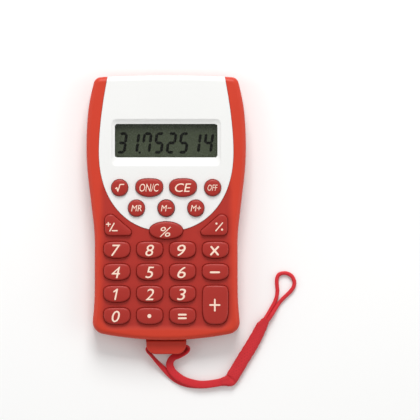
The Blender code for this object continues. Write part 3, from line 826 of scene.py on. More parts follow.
@dataclass(frozen=True)
class Metal(Finish):
    """Plated or brushed metal, with fine brushed lines that run along Y."""

    line_scale: float = 9000.0

    def dress(self, bench: NodeBench, shader: bpy.types.Node) -> None:
        """Adds fine lines and dull patches."""
        place = bench.place()
        mapped = bench.add("ShaderNodeMapping", {"Vector": place, "Scale": (1.0, 0.04, 1.0)}).outputs[0]
        lines = bench.noise(mapped, self.line_scale, 2.0, 0.5)
        dull = bench.remap(bench.noise(place, 350.0, 3.0, 0.6), (0.35, 0.7), (0.0, 1.0))
        base = linear(*self.colour)
        bench.fill(
            shader,
            {
                "Base Color": bench.blend(dull, base, dimmed(base, 0.78)),
                "Roughness": self.gloss(bench, lines, USUAL_NOISE, (-0.08, 0.12)),
                "Normal": bench.bump(lines, 0.004, 0.6),
                "Metallic": 1.0,
            },
        )


@dataclass(frozen=True)
class Pane(Finish):
    """Clear acrylic, with a trace of handling."""

    alpha: float = 0.04

    def dress(self, bench: NodeBench, shader: bpy.types.Node) -> None:
        """Makes it see-through, with smears in its gloss."""
        smear = bench.noise(bench.place(), 160.0, 3.0, 0.65)
        bench.fill(
            shader,
            {
                "Base Color": bench.blend(smear, linear(*self.colour), linear(44, 48, 40)),
                "Roughness": self.gloss(bench, smear, (0.35, 0.75), (0.0, 0.09)),
                "Alpha": bench.remap(smear, USUAL_NOISE, (self.alpha - 0.01, self.alpha + 0.01)),
            },
        )


@dataclass(frozen=True)
class Crystal(Finish):
    """The liquid crystal cell, grey-green, with painted shadow that makes it darker towards its top
    edge.
    """

    span_y: Flat = (24.7, 39.1)

    def dress(self, bench: NodeBench, shader: bpy.types.Node) -> None:
        """Paints shadow that darkens it from bottom to top, with the polariser's faint vertical rubbing.
        """
        place = bench.place()
        low, high = (y * MM for y in self.span_y)
        rise = bench.remap(bench.parts(place)[1], (low, high), (0.0, 1.0), True)
        base = linear(*self.colour)
        # Painted shadow: the glass darkens towards the top, where the opening's upper wall shades it.
        body = bench.blend(rise, base, dimmed(base, 0.82))
        mapped = bench.add("ShaderNodeMapping", {"Vector": place, "Scale": (1.0, 0.05, 1.0)}).outputs[0]
        rubbing = bench.remap(bench.noise(mapped, 2500.0, 2.0), USUAL_NOISE, (0.975, 1.025))
        rough = self.gloss(bench, bench.noise(place, 300.0), USUAL_NOISE, (0.0, 0.1))
        bench.fill(shader, {"Base Color": bench.shaded(body, rubbing), "Roughness": rough})


@dataclass(frozen=True)
class Laminate(Finish):
    """Circuit board: green mask over tracks that show as a lighter green."""

    def dress(self, bench: NodeBench, shader: bpy.types.Node) -> None:
        """Draws tracks and pads under the solder mask."""
        place = bench.place()
        cells = bench.add(
            "ShaderNodeTexVoronoi",
            {"Vector": place, "Scale": 320.0, "Randomness": 0.25},
            feature="F1",
            distance="CHEBYCHEV",
        ).outputs[0]
        tracks = bench.remap(cells, (0.34, 0.38), (0.0, 1.0))
        bench.fill(
            shader,
            {
                "Base Color": bench.blend(tracks, linear(*self.colour), linear(70, 138, 84)),
                "Roughness": self.gloss(bench, bench.noise(place, 500.0), USUAL_NOISE, (-0.06, 0.06)),
                "Normal": bench.bump(tracks, 0.03, 0.8),
            },
        )


@dataclass(frozen=True)
class Striped(Finish):
    """Connector rubber: thin conducting stripes between clear ones."""

    pitch: float = 0.18

    def dress(self, bench: NodeBench, shader: bpy.types.Node) -> None:
        """Alternates black and pale stripes along X."""
        place = bench.place()
        turns = bench.sum("MULTIPLY", bench.parts(place)[0], math.tau / (self.pitch * MM))
        stripes = bench.remap(bench.sum("SINE", turns), (-0.2, 0.2), (0.0, 1.0))
        colour = bench.blend(stripes, linear(*self.colour), linear(176, 168, 160))
        rough = self.gloss(bench, bench.noise(place, 900.0), USUAL_NOISE, (-0.1, 0.1))
        bench.fill(shader, {"Base Color": colour, "Roughness": rough})


@dataclass(frozen=True)
class Backdrop(Finish):
    """Plain pale floor."""

    def dress(self, bench: NodeBench, shader: bpy.types.Node) -> None:
        """Leaves it matt, with no shine."""
        soft = bench.remap(bench.noise(bench.place(), 3.0), USUAL_NOISE, (0.985, 1.0))
        bench.fill(
            shader,
            {
                "Base Color": bench.shaded(linear(*self.colour), soft),
                "Roughness": self.roughness,
                "Specular IOR Level": 0.0,
            },
        )


SHELL_RED = Fielded(
    "shell_red", "shell_red", (200, 54, 28), 0.46, specular=0.4, drift=0.05, grain_depth=0.010
)
# Same plastic as the front shell, a little darker: painted shade for the lug, which lies below the face.
SHADED_REAR_RED = Moulded(
    "rear_red", "shell_red", (190, 46, 26), 0.46, specular=0.4, drift=0.05, grain_depth=0.016
)
PANEL_WHITE = Moulded(
    "panel_white", "panel_white", (234, 234, 232), 0.34, drift=0.012, grain_depth=0.008
)
KEY_RED = Moulded(
    "key_red", "key_red", (164, 38, 28), 0.42, specular=0.4, drift=0.05, grain_depth=0.006, scuffs=0.35
)
LEGEND_CREAM = Moulded("legend_cream", "legend_cream", (246, 218, 198), 0.45, drift=0.03, scuffs=0.1)
WINDOW_CLEAR = Pane("window_clear", "window_clear", (34, 38, 30), 0.05)
LCD_GLASS = Crystal("lcd_glass", "lcd_glass", (67, 75, 56), 0.22)
LCD_SEGMENT = Moulded(
    "lcd_segment", "lcd_segment", (9, 10, 6), 0.6, specular=0.15, drift=0.02, scuffs=0.0
)
BOARD_GREEN = Laminate("board_green", "board_green", (24, 92, 56), 0.4)
MAT_SILICONE = Moulded(
    "mat_silicone", "mat_silicone", (196, 196, 190), 0.6, drift=0.03, grain_scale=1800.0
)
CHIP_RESIN = Moulded(
    "chip_resin", "chip_resin", (20, 20, 22), 0.25, drift=0.1, grain_scale=900.0, coat=0.3
)
RESISTOR_CERAMIC = Moulded("resistor_ceramic", "resistor_ceramic", (196, 170, 128), 0.5)
CONNECTOR_RUBBER = Striped("connector_rubber", "connector_rubber", (34, 34, 38), 0.65)
CELL_STEEL = Metal("cell_steel", "cell_steel", (206, 206, 208), 0.26)
CONTACT_NICKEL = Metal("contact_nickel", "contact_nickel", (206, 200, 188), 0.3)
SCREW_ZINC = Metal("screw_zinc", "screw_zinc", (190, 192, 196), 0.34)
LANYARD_TAPE = Woven("lanyard_tape", "lanyard_woven", (200, 30, 40), 0.62)
LANYARD_CORD = Woven(
    "lanyard_cord", "lanyard_woven", (202, 32, 42), 0.6, stitch=0.8, gauge=0.59, depth=0.06
)
LANYARD_SLEEVE = Woven(
    "lanyard_sleeve", "lanyard_woven", (194, 32, 40), 0.64, stitch=1.1, gauge=0.7, depth=0.09
)


# ---------------------------------------------------------------------------
# Studio
# ---------------------------------------------------------------------------


@dataclass(frozen=True)
class Softbox:
    """A large square lamp that faces a point on the object."""

    name: str
    place: Spot
    size: float
    power: float

    def hang(self, target: Vector) -> None:
        """Adds the lamp. Places and sizes are in metres here."""
        lamp = bpy.data.lights.new(self.name, "AREA")
        lamp.shape = "SQUARE"
        lamp.size = self.size
        lamp.energy = self.power
        hung = bpy.data.objects.new(self.name, lamp)
        bpy.context.scene.collection.objects.link(hung)
        hung.location = self.place
        hung.rotation_euler = (target - Vector(self.place)).to_track_quat("-Z", "Y").to_euler()


@dataclass(frozen=True)
class Studio:
    """Camera straight above, white floor and soft light, in metres."""

    centre: Flat = (0.01883, 0.00212)
    width: float = 0.1806
    height: float = 0.008
    lens: float = 480.0
    sensor: float = 36.0
    sky: float = 0.5
    floor_size: float = 8.0
    floor_drop: float = 0.00005
    lamps: tuple[Softbox, ...] = (
        Softbox("top_softbox", (0.02, 0.66, 0.56), 0.42, 5.6),
        Softbox("left_softbox", (-0.75, 0.05, 0.55), 0.6, 1.15),
        Softbox("right_softbox", (0.78, -0.05, 0.5), 0.6, 1.2),
    )

    def set_up(self) -> None:
        """Makes the camera, the floor, the lamps and the sky."""
        self.camera()
        self.floor()
        target = Vector((*self.centre, 0.005))
        for lamp in self.lamps:
            lamp.hang(target)
        world = bpy.data.worlds.new("studio")
        world.use_nodes = True
        background = world.node_tree.nodes["Background"]
        background.inputs["Color"].default_value = (1.0, 1.0, 1.0, 1.0)
        background.inputs["Strength"].default_value = self.sky
        bpy.context.scene.world = world
        bpy.context.scene.view_settings.view_transform = "Standard"

    def camera(self) -> None:
        """Looks straight down from far away, with the display end up."""
        data = bpy.data.cameras.new("camera")
        data.lens = self.lens
        data.sensor_width = self.sensor
        away = self.width * self.lens / self.sensor
        data.clip_end = 4 * away
        camera = bpy.data.objects.new("camera", data)
        bpy.context.scene.collection.objects.link(camera)
        camera.location = (*self.centre, self.height + away)
        bpy.context.scene.camera = camera

    def floor(self) -> None:
        """A wide flat sheet, a hair's breadth under the object."""
        bpy.ops.object.select_all(action="DESELECT")
        bpy.ops.mesh.primitive_plane_add(size=self.floor_size, location=(0.0, 0.0, -self.floor_drop))
        floor = bpy.context.object
        floor.name = "floor"
        bpy.ops.object.transform_apply(location=True, rotation=True, scale=True)
        floor.data.materials.append(Backdrop("floor_white", "", (250, 250, 249), 0.9).material())


# ---------------------------------------------------------------------------
# Lanyard
# ---------------------------------------------------------------------------


@dataclass(frozen=True)
class Swept:
    """A strip or cord of oval section along a route, with a map that runs along it.

    Its twists, in degrees, and its widths, as shares of the full width, are each given at
    some points of the route, by the point's index.
    """

    name: str
    route: tuple[Spot, ...]
    half_width: float
    half_thickness: float
    power: float
    sides: int
    spacing: float
    twists: tuple[Flat, ...] = ((0.0, 0.0),)
    widths: tuple[Flat, ...] = ((0.0, 1.0),)
    lowest: float = 0.04

    def knot(self, knots: Sequence[Flat], place: float) -> float:
        """Reads a value between knots given as route index and value.

        Args:
            knots: Pairs of a route index and a value.
            place: The route index that is asked for.

        Returns:
            The value there.
        """
        if place <= knots[0][0]:
            return knots[0][1]
        for (a, low), (b, high) in zip(knots, knots[1:]):
            if place <= b:
                part = (place - a) / (b - a)
                return low + (high - low) * part * part * (3 - 2 * part)
        return knots[-1][1]

    def line(self) -> list[tuple[Vector, float]]:
        """Returns evenly spaced points of the route, each with its route index."""
        steps = 12
        fine = smooth_line([Vector(p) for p in self.route], steps)
        lengths = [0.0]
        for a, b in zip(fine, fine[1:]):
            lengths.append(lengths[-1] + (b - a).length)
        count = round(lengths[-1] / self.spacing)
        spread, at = [], 0
        for i in range(count + 1):
            wanted = lengths[-1] * i / count
            while at < len(fine) - 2 and lengths[at + 1] < wanted:
                at += 1
            part = min(1.0, (wanted - lengths[at]) / (lengths[at + 1] - lengths[at]))
            spread.append((fine[at].lerp(fine[at + 1], part), (at + part) / steps))
        return spread

    def build(self) -> tuple[Piece, list[Vector], float]:
        """Sweeps the section along the route.

        Returns:
            The piece, its centre line in metres and its length in metres.
        """
        points = self.line()
        rings = []
        for i, (here, place) in enumerate(points):
            before, after = points[max(i - 1, 0)][0], points[min(i + 1, len(points) - 1)][0]
            ahead = (after - before).normalized()
            side = Vector((ahead.y, -ahead.x, 0.0)).normalized()
            up = side.cross(ahead).normalized()
            half = self.half_width * self.knot(self.widths, place)
            twist = self.clear_twist(math.radians(self.knot(self.twists, place)), here.z, half)
            across = side * math.cos(twist) + up * math.sin(twist)
            through = up * math.cos(twist) - side * math.sin(twist)
            rings.append([self.spot(here, across * half, through, j) for j in range(self.sides)])
        piece = loft(self.name, rings)
        length = sum((b[0] - a[0]).length for a, b in zip(points, points[1:]))
        around = 2 * (self.half_width * 2 + self.half_thickness * 2) / self.sides
        map_along(piece, self.sides, length / (len(points) - 1), around)
        return piece, [point * MM for point, _ in points], length * MM

    def clear_twist(self, twist: float, height: float, half: float) -> float:
        """Limits a twist so that the strip's lower edge stays above the floor.

        Args:
            twist: The wanted twist, in radians.
            height: Height of the strip's middle.
            half: Half the strip's width.

        Returns:
            The twist that there is room for.
        """
        room = max(0.0, height - self.half_thickness - self.lowest)
        limit = math.asin(min(1.0, room / half))
        return math.copysign(min(abs(twist), limit), twist)

    def spot(self, here: Vector, across: Vector, through: Vector, j: int) -> Spot:
        """Places point j of a section.

        Args:
            here: The section's centre.
            across: From the centre to the strip's edge.
            through: Direction of its thickness.
            j: Number of the point.

        Returns:
            The point.
        """
        angle = math.tau * j / self.sides
        cosine, sine = math.cos(angle), math.sin(angle)
        out = math.copysign(abs(cosine) ** (2 / self.power), cosine)
        rise = math.copysign(abs(sine) ** (2 / self.power), sine) * self.half_thickness
        place = here + across * out + through * rise
        return (place.x, place.y, max(place.z, self.lowest))


STRAP_ROUTE: tuple[Spot, ...] = (
    (24.6, -71.85, 1.9),
    (20.5, -72.65, 1.85),
    (14.8, -73.1, 1.85),
    (8.5, -71.65, 1.85),
    (5.0, -69.7, 1.85),
    (2.6, -67.4, 1.85),
    (1.6, -65.3, 1.85),
    (1.5, -63.9, 1.9),
    (2.1, -62.4, 2.1),
    (3.4, -61.2, 2.4),
    (5.2, -60.6, 2.8),
    (7.0, -59.75, 3.2),
    (8.6, -58.7, 3.6),
    (9.4, -57.6, 3.9),
    (8.9, -56.7, 4.1),
    (7.3, -56.5, 4.2),
    (0.0, -56.6, 4.2),
    (-7.2, -56.7, 4.2),
    (-8.3, -57.4, 4.1),
    (-8.15, -58.5, 3.8),
    (-7.1, -59.7, 3.4),
    (-5.9, -61.1, 2.8),
    (-4.55, -62.7, 2.2),
    (-3.05, -64.3, 1.7),
    (-1.5, -65.95, 1.3),
    (0.35, -67.7, 0.9),
    (2.3, -69.35, 0.65),
    (4.7, -71.0, 0.55),
    (7.9, -72.4, 0.55),
    (11.5, -73.1, 0.55),
    (15.5, -73.2, 0.55),
    (20.5, -72.7, 0.55),
    (24.6, -71.9, 0.6),
)
LOOP_ROUTE: tuple[Spot, ...] = (
    (42.1, -45.35, 1.4),
    (43.8, -42.9, 1.0),
    (45.1, -40.5, 0.85),
    (46.6, -37.9, 0.8),
    (47.5, -35.5, 0.8),
    (47.9, -32.5, 0.8),
    (47.65, -29.5, 0.8),
    (47.75, -27.2, 0.8),
    (48.6, -25.7, 0.8),
    (50.4, -25.1, 0.8),
    (52.6, -25.4, 0.8),
    (54.3, -26.7, 0.8),
    (55.2, -28.8, 0.8),
    (54.9, -30.9, 0.8),
    (53.5, -33.0, 0.8),
    (51.2, -35.2, 0.8),
    (48.75, -37.8, 0.8),
    (46.75, -40.9, 1.3),
    (45.1, -43.6, 1.8),
    (43.0, -46.5, 1.6),
)


@dataclass
class Lanyard:
    """Flat tape through the lug, the sleeve that holds its ends, and the thin loop.

    The sleeve's line is given as centres and half widths. Its creases are given as distance
    along it, reach, and the share of the thickness that is pressed away.
    """

    tape: Swept = Swept(
        "tape",
        STRAP_ROUTE,
        half_width=1.65,
        half_thickness=0.45,
        power=3.2,
        sides=20,
        spacing=0.55,
        twists=(
            (5.0, 0.0),
            (8.0, 30.0),
            (12.0, 50.0),
            (13.5, 58.0),
            (15.0, 80.0),
            (17.0, 80.0),
            (21.0, 66.0),
            (27.0, 0.0),
        ),
        widths=((12.0, 1.0), (14.0, 0.84), (18.0, 0.84), (24.0, 0.72), (27.0, 1.0)),
    )
    loop: Swept = Swept(
        "loop_cord",
        LOOP_ROUTE,
        half_width=0.84,
        half_thickness=0.76,
        power=2.0,
        sides=16,
        spacing=0.45,
    )
    sleeve_half_thickness: float = 1.3
    sleeve_half: float = 2.85
    sleeve_z: float = 1.45
    sleeve_sides: int = 40
    sleeve_line: tuple[tuple[Flat, float], ...] = (
        ((23.7, -72.1), 1.75),
        ((24.95, -71.8), 2.0),
        ((27.6, -71.0), 2.9),
        ((29.5, -68.2), 2.85),
        ((33.2, -62.0), 2.85),
        ((36.9, -56.0), 2.8),
        ((39.1, -52.0), 2.65),
        ((40.9, -48.4), 2.5),
        ((41.9, -46.9), 2.2),
        ((42.7, -45.6), 1.75),
        ((43.2, -44.8), 1.3),
    )
    sleeve_creases: tuple[Spot, ...] = ((4.6, 0.45, 0.42), (9.5, 0.6, 0.12))

    def build(self) -> None:
        sleeve = self.sleeve()
        tape, tape_line, tape_length = self.tape.build()
        shade(tape, 50.0, False)
        finish_piece(tape, CASE, LANYARD_TAPE, ["lanyard_strap"])
        loop, loop_line, loop_length = self.loop.build()
        shade(loop, 60.0, False)
        finish_piece(loop, CASE, LANYARD_CORD, ["lanyard_loop"])

    def sleeve(self) -> Piece:
        """Makes the woven sleeve: oval sections that turn with its line and crease at its bend."""
        centres = [Vector((*centre, 0.0)) for centre, _ in self.sleeve_line]
        halves = [Vector((half, 0.0, 0.0)) for _, half in self.sleeve_line]
        steps = 8
        line, widths = smooth_line(centres, steps), smooth_line(halves, steps)
        rings, length = [], 0.0
        for i, here in enumerate(line):
            before, after = line[max(i - 1, 0)], line[min(i + 1, len(line) - 1)]
            ahead = (after - before).normalized()
            side = Vector((ahead.y, -ahead.x, 0.0))
            length += (here - before).length
            rings.append(self.sleeve_ring(here, side, widths[i].x, length))
        piece = loft("sleeve", rings)
        around = 2 * (self.sleeve_half * 2 + self.sleeve_half_thickness) / self.sleeve_sides
        map_along(piece, self.sleeve_sides, length / (len(line) - 1), around)
        shade(piece, 60.0, False)
        return finish_piece(piece, CASE, LANYARD_SLEEVE, ["lanyard_sleeve"])

    def sleeve_ring(self, here: Vector, side: Vector, half: float, along: float) -> Ring:
        """One section, puckered a little, and thinner at a crease and down its middle.

        Args:
            here: The section's centre.
            side: Direction across the sleeve.
            half: Half its width there.
            along: Distance from the sleeve's start.

        Returns:
            The section's points.
        """
        ring = []
        pucker = 0.05 * math.sin(along * 2.1) + 0.03 * math.sin(along * 5.3 + 1.0) - 0.05
        fold = 1.0
        for middle, reach, share in self.sleeve_creases:
            fold -= share * math.exp(-(((along - middle) / reach) ** 2))
        for j in range(self.sleeve_sides):
            angle = math.tau * j / self.sleeve_sides
            cosine, sine = math.cos(angle), math.sin(angle)
            across = (half + pucker) * math.copysign(abs(cosine) ** 0.72, cosine)
            dent = 1.0 - 0.16 * math.exp(-((across / (half * 0.4)) ** 2))
            rise = self.sleeve_half_thickness * dent * fold * math.copysign(abs(sine) ** 0.8, sine)
            place = here + side * across
            ring.append((place.x, place.y, self.sleeve_z + rise))
        return ring


# ---------------------------------------------------------------------------
# Case
# ---------------------------------------------------------------------------


@dataclass(frozen=True)
class CaseShape:
    """The outline of the case and of the white panel, and the heights they share."""

    top_end: float = 59.9
    bottom_end: float = -53.8
    top_sag: float = 0.65
    bottom_sag: float = 2.7
    top_corner: Spot = (28.0, 56.0, 3.2)
    bottom_corner: Spot = (26.3, -45.9, 5.3)
    side: tuple[Flat, ...] = (
        (31.2, -41.5),
        (30.8, -35.0),
        (30.75, -22.0),
        (30.8, -8.0),
        (31.7, 0.4),
        (32.6, 8.1),
        (33.8, 18.4),
        (34.3, 29.0),
        (33.8, 41.7),
        (32.8, 49.4),
    )
    panel_half: float = 29.0
    panel_widest_y: float = 27.5
    panel_depth: float = 34.6
    panel_power: float = 2.2
    panel_taper: float = 3.7
    panel_taper_run: float = 31.5
    panel_overrun: float = 62.5
    floor_top: float = 1.6
    seam: float = 5.7
    deck_top: float = 11.5
    deck_under: float = 9.9
    wall: float = 1.8
    back_fillet: float = 1.5
    front_fillet: float = 2.2
    seam_chamfer: float = 0.22

    def outline(self) -> list[Flat]:
        """The case from above: a smooth closed curve."""
        x, y, radius = self.bottom_corner
        corner = arc((x, y), radius, -78, 8, 6)
        last = corner[0][0]
        low = (0.0, 7.0, 14.0, 21.0)
        bottom = [(a, self.bottom_end + self.bottom_sag * (a / last) ** 2) for a in low]
        x, y, radius = self.top_corner
        upper = arc((x, y), radius, 12, 85, 5)
        end = upper[-1][0]
        top = [(a, self.top_end - self.top_sag * (a / end) ** 2) for a in (19.0, 10.0, 0.0)]
        right = bottom + corner + list(self.side) + upper + top
        left = [(-a, b) for a, b in reversed(right[1:-1])]
        points = [Vector(p) for p in right + left]
        return [tuple(p) for p in smooth_line(points, 3, closed=True)]

    def panel(self) -> list[Flat]:
        """The white panel from above, run on past the case's top end."""
        right, steps = [], 40
        for i in range(steps + 1):
            angle = math.pi / 2 * i / steps
            x = self.panel_half * math.sin(angle) ** (2 / self.panel_power)
            y = self.panel_widest_y - self.panel_depth * math.cos(angle) ** (2 / self.panel_power)
            right.append((x, y))
        rise, steps = self.panel_overrun - self.panel_widest_y, 14
        for i in range(1, steps + 1):
            y = self.panel_widest_y + rise * i / steps
            taper = ((y - self.panel_widest_y) / self.panel_taper_run) ** 1.7
            right.append((self.panel_half - self.panel_taper * taper, y))
        left = [(-x, y) for x, y in reversed(right[1:])]
        return right + left

    def front_rings(self, low: float) -> list[Ring]:
        """The outside of the case from a height up to its face, with the front fillet.

        Args:
            low: The lower height.

        Returns:
            The rings.
        """
        outline = self.outline()
        start = self.deck_top - self.front_fillet
        return [
            at_height(offset(outline, self.seam_chamfer), low),
            at_height(outline, low + self.seam_chamfer),
            at_height(outline, start),
            *edge_rings(outline, start, self.front_fillet, 8),
        ]

    def back_rings(self, high: float) -> list[Ring]:
        """The outside of the case from its back up to a height, with the back fillet.

        Args:
            high: The upper height.

        Returns:
            The rings.
        """
        outline = self.outline()
        return [
            *edge_rings(outline, self.back_fillet, self.back_fillet, 6, under=True),
            at_height(outline, self.back_fillet),
            at_height(outline, high - self.seam_chamfer),
            at_height(offset(outline, self.seam_chamfer), high),
        ]


SHAPE = CaseShape()

# Heights inside the case at which cutting tools start, and a Y past its display end.
INSIDE = 4.0
BELOW = 3.0
PAST_END = 63.0

CASE_SCREWS: tuple[Flat, ...] = ((-28.8, 47.0), (28.8, 47.0), (-14.1, -49.6), (14.1, -49.6))
BOARD_SCREWS: tuple[Flat, ...] = ((-24.3, 18.2), (24.3, 18.2), (-14.1, -29.25), (14.1, -29.25))


class Seat(Enum):
    """What a key stands in."""

    FIELD = "red field"
    PANEL = "white panel"
    BOTH = "the panel's lower end"


@dataclass(frozen=True)
class Stroke:
    """A straight stroke of a legend, from one end to the other."""

    start: Flat
    end: Flat
    width: float

    def bar(self, centre: Flat, low: float, high: float) -> Piece:
        """Makes the stroke, as a flat bar with round ends, on a key's centre.

        Args:
            centre: The key's centre.
            low: Height of its underside.
            high: Height of its top.

        Returns:
            The bar.
        """
        plan = bar_outline(self.start, self.end, self.width / 2, 6)
        return prism("stroke", shifted(plan, centre), low, high)


@dataclass(frozen=True)
class Legend:
    """What is printed on a key: characters, strokes, dots (x, y, radius), or several of them."""

    text: str = ""
    height: float = 4.9
    widen: float = 1.08
    weight: float = 0.0
    shift: Flat = (0.0, 0.0)
    slant: float = 0.2
    strokes: tuple[Stroke, ...] = ()
    dots: tuple[Spot, ...] = ()


@dataclass(frozen=True)
class Key:
    """A key: its node, its place, its shape from above and its legend.

    The last field scales its outline inwards, ring by ring, over the crowned top.
    """

    node: str
    centre: Flat
    outline: list[Flat]
    seat: Seat
    legend: Legend
    edge: float = 0.85
    crown: float = 0.16
    plunger: float = 1.8
    plunger_low: float = 6.9
    rings: tuple[float, ...] = (0.88, 0.72, 0.52, 0.3)

    def cutter(self, clearance: float, floor: float) -> Piece:
        """A tool for the key's opening, flared at the surface it opens in.

        Args:
            clearance: Gap round the key.
            floor: Height of the surface.

        Returns:
            The tool.
        """
        rim = 0.1
        wide = offset(self.outline, -clearance)
        rings = [at_height(wide, INSIDE), at_height(wide, floor - rim)]
        rings += edge_rings(wide, floor - rim, rim, 3, flared=True)
        rings.append(at_height(offset(wide, -rim - 0.02), floor + 3.0))
        return loft("opening", rings)

    def build(self, top: float, flange: Flat, reach: float) -> Piece:
        """Makes the key: plunger, flange, straight sides, soft edge and crowned top.

        Args:
            top: Height of its crown.
            flange: Lowest and highest height of the flange that keeps it in.
            reach: How far the flange stands out.

        Returns:
            The finished key.
        """
        (x, y), (first_x, first_y) = self.centre, self.outline[0]
        turn = math.degrees(math.atan2(first_y - y, first_x - x))
        steps = len(self.outline) - 1
        plunger = arc(self.centre, self.plunger, turn, turn + 360 * steps / (steps + 1), steps)
        collar = offset(self.outline, -reach)
        rings = [at_height(plunger, self.plunger_low), at_height(plunger, flange[0])]
        rings += [at_height(collar, flange[0]), at_height(collar, flange[1])]
        side_top = top - self.crown - self.edge
        rings += [at_height(self.outline, flange[1]), at_height(self.outline, side_top)]
        rings += edge_rings(self.outline, side_top, self.edge, 6)
        inner = offset(self.outline, self.edge)
        innermost = self.rings[-1]
        for factor in self.rings:
            lift = self.crown * (1 - ((factor - innermost) / (1 - innermost)) ** 2)
            rings.append(at_height(scaled(inner, self.centre, factor), top - self.crown + lift))
        piece = loft(self.node + "_cap", rings)
        shade(piece, 40.0)
        return finish_piece(piece, self.node, KEY_RED, [self.node])


@dataclass
class Keypad:
    """Every key with its legend."""

    top: float = 13.1
    flange: Flat = (8.8, 9.6)
    reach: float = 0.6
    clearance: float = 0.15
    column_pitch: float = 14.1
    row_pitch: float = 9.46
    first_row: float = -15.0
    sides: int = 72
    number_half: Flat = (5.7, 3.62)
    number_powers: Flat = (3.6, 2.4)
    plus_half: Flat = (5.6, 8.4)
    plus_powers: Flat = (6.0, 3.1)
    ink: float = 0.03
    ink_depth: float = 0.5

    def legend(self, node: str) -> Legend:
        """Returns what is printed on a key of the red field.

        Args:
            node: The key's node.

        Returns:
            The legend.
        """
        middle, left = (0.0, -0.2), (-0.45, -0.2)
        digits = {f"key_{n}": Legend(str(n), shift=middle) for n in (2, 5, 8)}
        digits.update({f"key_{n}": Legend(str(n), widen=1.22, shift=left) for n in (3, 6, 9)})
        digits.update({f"key_{n}": Legend(str(n), shift=left) for n in (7, 4, 0)})
        one = (Stroke((-0.75, -2.3), (0.15, 2.0), 0.68), Stroke((-1.25, 1.0), (0.1, 1.95), 0.6))
        digits["key_1"] = Legend(strokes=one)
        signs = {
            "key_multiply": Legend(
                strokes=(
                    Stroke((-1.9, -2.0), (1.2, 1.3), 0.8),
                    Stroke((-1.75, 1.3), (1.1, -2.0), 0.8),
                )
            ),
            "key_minus": Legend(strokes=(Stroke((-2.0, -0.15), (1.6, -0.15), 0.8),)),
            "key_equals": Legend(
                strokes=(
                    Stroke((-1.6, 0.6), (1.4, 0.6), 0.78),
                    Stroke((-1.6, -0.95), (1.4, -0.95), 0.78),
                )
            ),
            "key_point": Legend(dots=((-0.15, 0.0, 0.85),)),
            "key_plus": Legend(
                strokes=(
                    Stroke((-2.3, -0.05), (1.8, -0.05), 0.7),
                    Stroke((-0.25, -2.5), (-0.25, 2.3), 0.7),
                )
            ),
        }
        return {**digits, **signs}[node]

    def field_keys(self) -> list[Key]:
        """The keys in the rows of the red field, and the plus key."""
        rows = (
            ("key_7", "key_8", "key_9", "key_multiply"),
            ("key_4", "key_5", "key_6", "key_minus"),
            ("key_1", "key_2", "key_3"),
            ("key_0", "key_point", "key_equals"),
        )
        keys = []
        for row, names in enumerate(rows):
            for column, node in enumerate(names):
                centre = ((column - 1.5) * self.column_pitch, self.first_row - row * self.row_pitch)
                fine = egg(centre, self.number_half, self.number_powers, 240)
                outline = even(fine, self.sides)
                keys.append(Key(node, centre, outline, Seat.FIELD, self.legend(node)))
        centre = (1.5 * self.column_pitch, self.first_row - 2.5 * self.row_pitch + 0.05)
        outline = even(egg(centre, self.plus_half, self.plus_powers, 360), self.sides)
        keys.append(Key("key_plus", centre, outline, Seat.FIELD, self.legend("key_plus")))
        return keys

    def corner_keys(self) -> list[Key]:
        """The two triangular keys that follow the white panel's edge."""
        right = ((26.4, 3.25, 2.5), (12.3, -8.9, 1.5), (26.4, -8.9, 2.4))
        left = [(-x, y, radius) for x, y, radius in reversed(right)]
        divide = Legend(
            strokes=(Stroke((-1.25, -1.8), (1.6, 1.6), 0.48),),
            dots=((-1.0, 1.3, 0.45), (1.4, -1.3, 0.45)),
        )
        sign = Legend(
            strokes=(
                Stroke((-1.6, -1.9), (0.3, 1.45), 0.48),
                Stroke((-3.0, 1.0), (-1.35, 1.0), 0.45),
                Stroke((-2.2, 0.25), (-2.2, 1.75), 0.45),
                Stroke((-0.5, -1.75), (1.6, -1.75), 0.5),
            )
        )
        keys = []
        for node, x, corners, legend in (
            ("key_divide", 22.6, right, divide),
            ("key_sign", -22.6, left, sign),
        ):
            outline = even(rounded_polygon(corners, 12), self.sides)
            keys.append(Key(node, (x, -5.0), outline, Seat.FIELD, legend, edge=0.75))
        return keys

    def panel_keys(self) -> list[Key]:
        """The seven keys of the white panel."""
        oval, small = ((5.9, 3.9), (2.7, 2.0)), ((3.6, 3.6), (2.0, 2.0))
        root = Legend(
            strokes=(
                Stroke((-1.75, -0.35), (-1.25, 0.0), 0.42),
                Stroke((-1.25, 0.0), (-0.75, -1.5), 0.5),
                Stroke((-0.75, -1.5), (0.2, 1.4), 0.42),
                Stroke((0.2, 1.4), (1.8, 1.4), 0.45),
            )
        )
        layout = (
            ("key_root", (-19.95, 11.7), small, root),
            ("key_on_clear", (-7.25, 11.7), oval, Legend("ON/C", 3.35, 0.68, 0.0)),
            ("key_clear_entry", (7.25, 11.7), oval, Legend("CE", 3.7, 1.1, 0.02)),
            ("key_off", (19.95, 11.7), small, Legend("OFF", 2.6, 0.66, 0.0)),
            ("key_memory_recall", (-12.75, 2.9), small, Legend("MR", 2.7, 0.86, 0.0)),
            ("key_memory_minus", (0.0, 2.9), small, Legend("M−", 2.7, 0.86, 0.0)),
            ("key_memory_plus", (12.75, 2.9), small, Legend("M+", 2.7, 0.86, 0.0)),
        )
        return [
            Key(node, centre, even(egg(centre, *shape, 240), self.sides), Seat.PANEL, legend)
            for node, centre, shape, legend in layout
        ]

    def percent_key(self) -> Key:
        """The key at the lower end of the white panel."""
        centre = (0.0, -6.6)
        outline = even(egg(centre, (7.25, 3.75), (2.0, 2.2), 240), self.sides)
        legend = Legend("%", 4.2, 1.25, 0.0, (-0.3, -0.65))
        return Key("key_percent", centre, outline, Seat.BOTH, legend)

    def keys(self) -> list[Key]:
        """All the keys."""
        return self.field_keys() + self.corner_keys() + self.panel_keys() + [self.percent_key()]

    def build(self) -> None:
        """Makes each key and its legend."""
        for key in self.keys():
            key.build(self.top, self.flange, self.reach)
            self.print_legend(key)

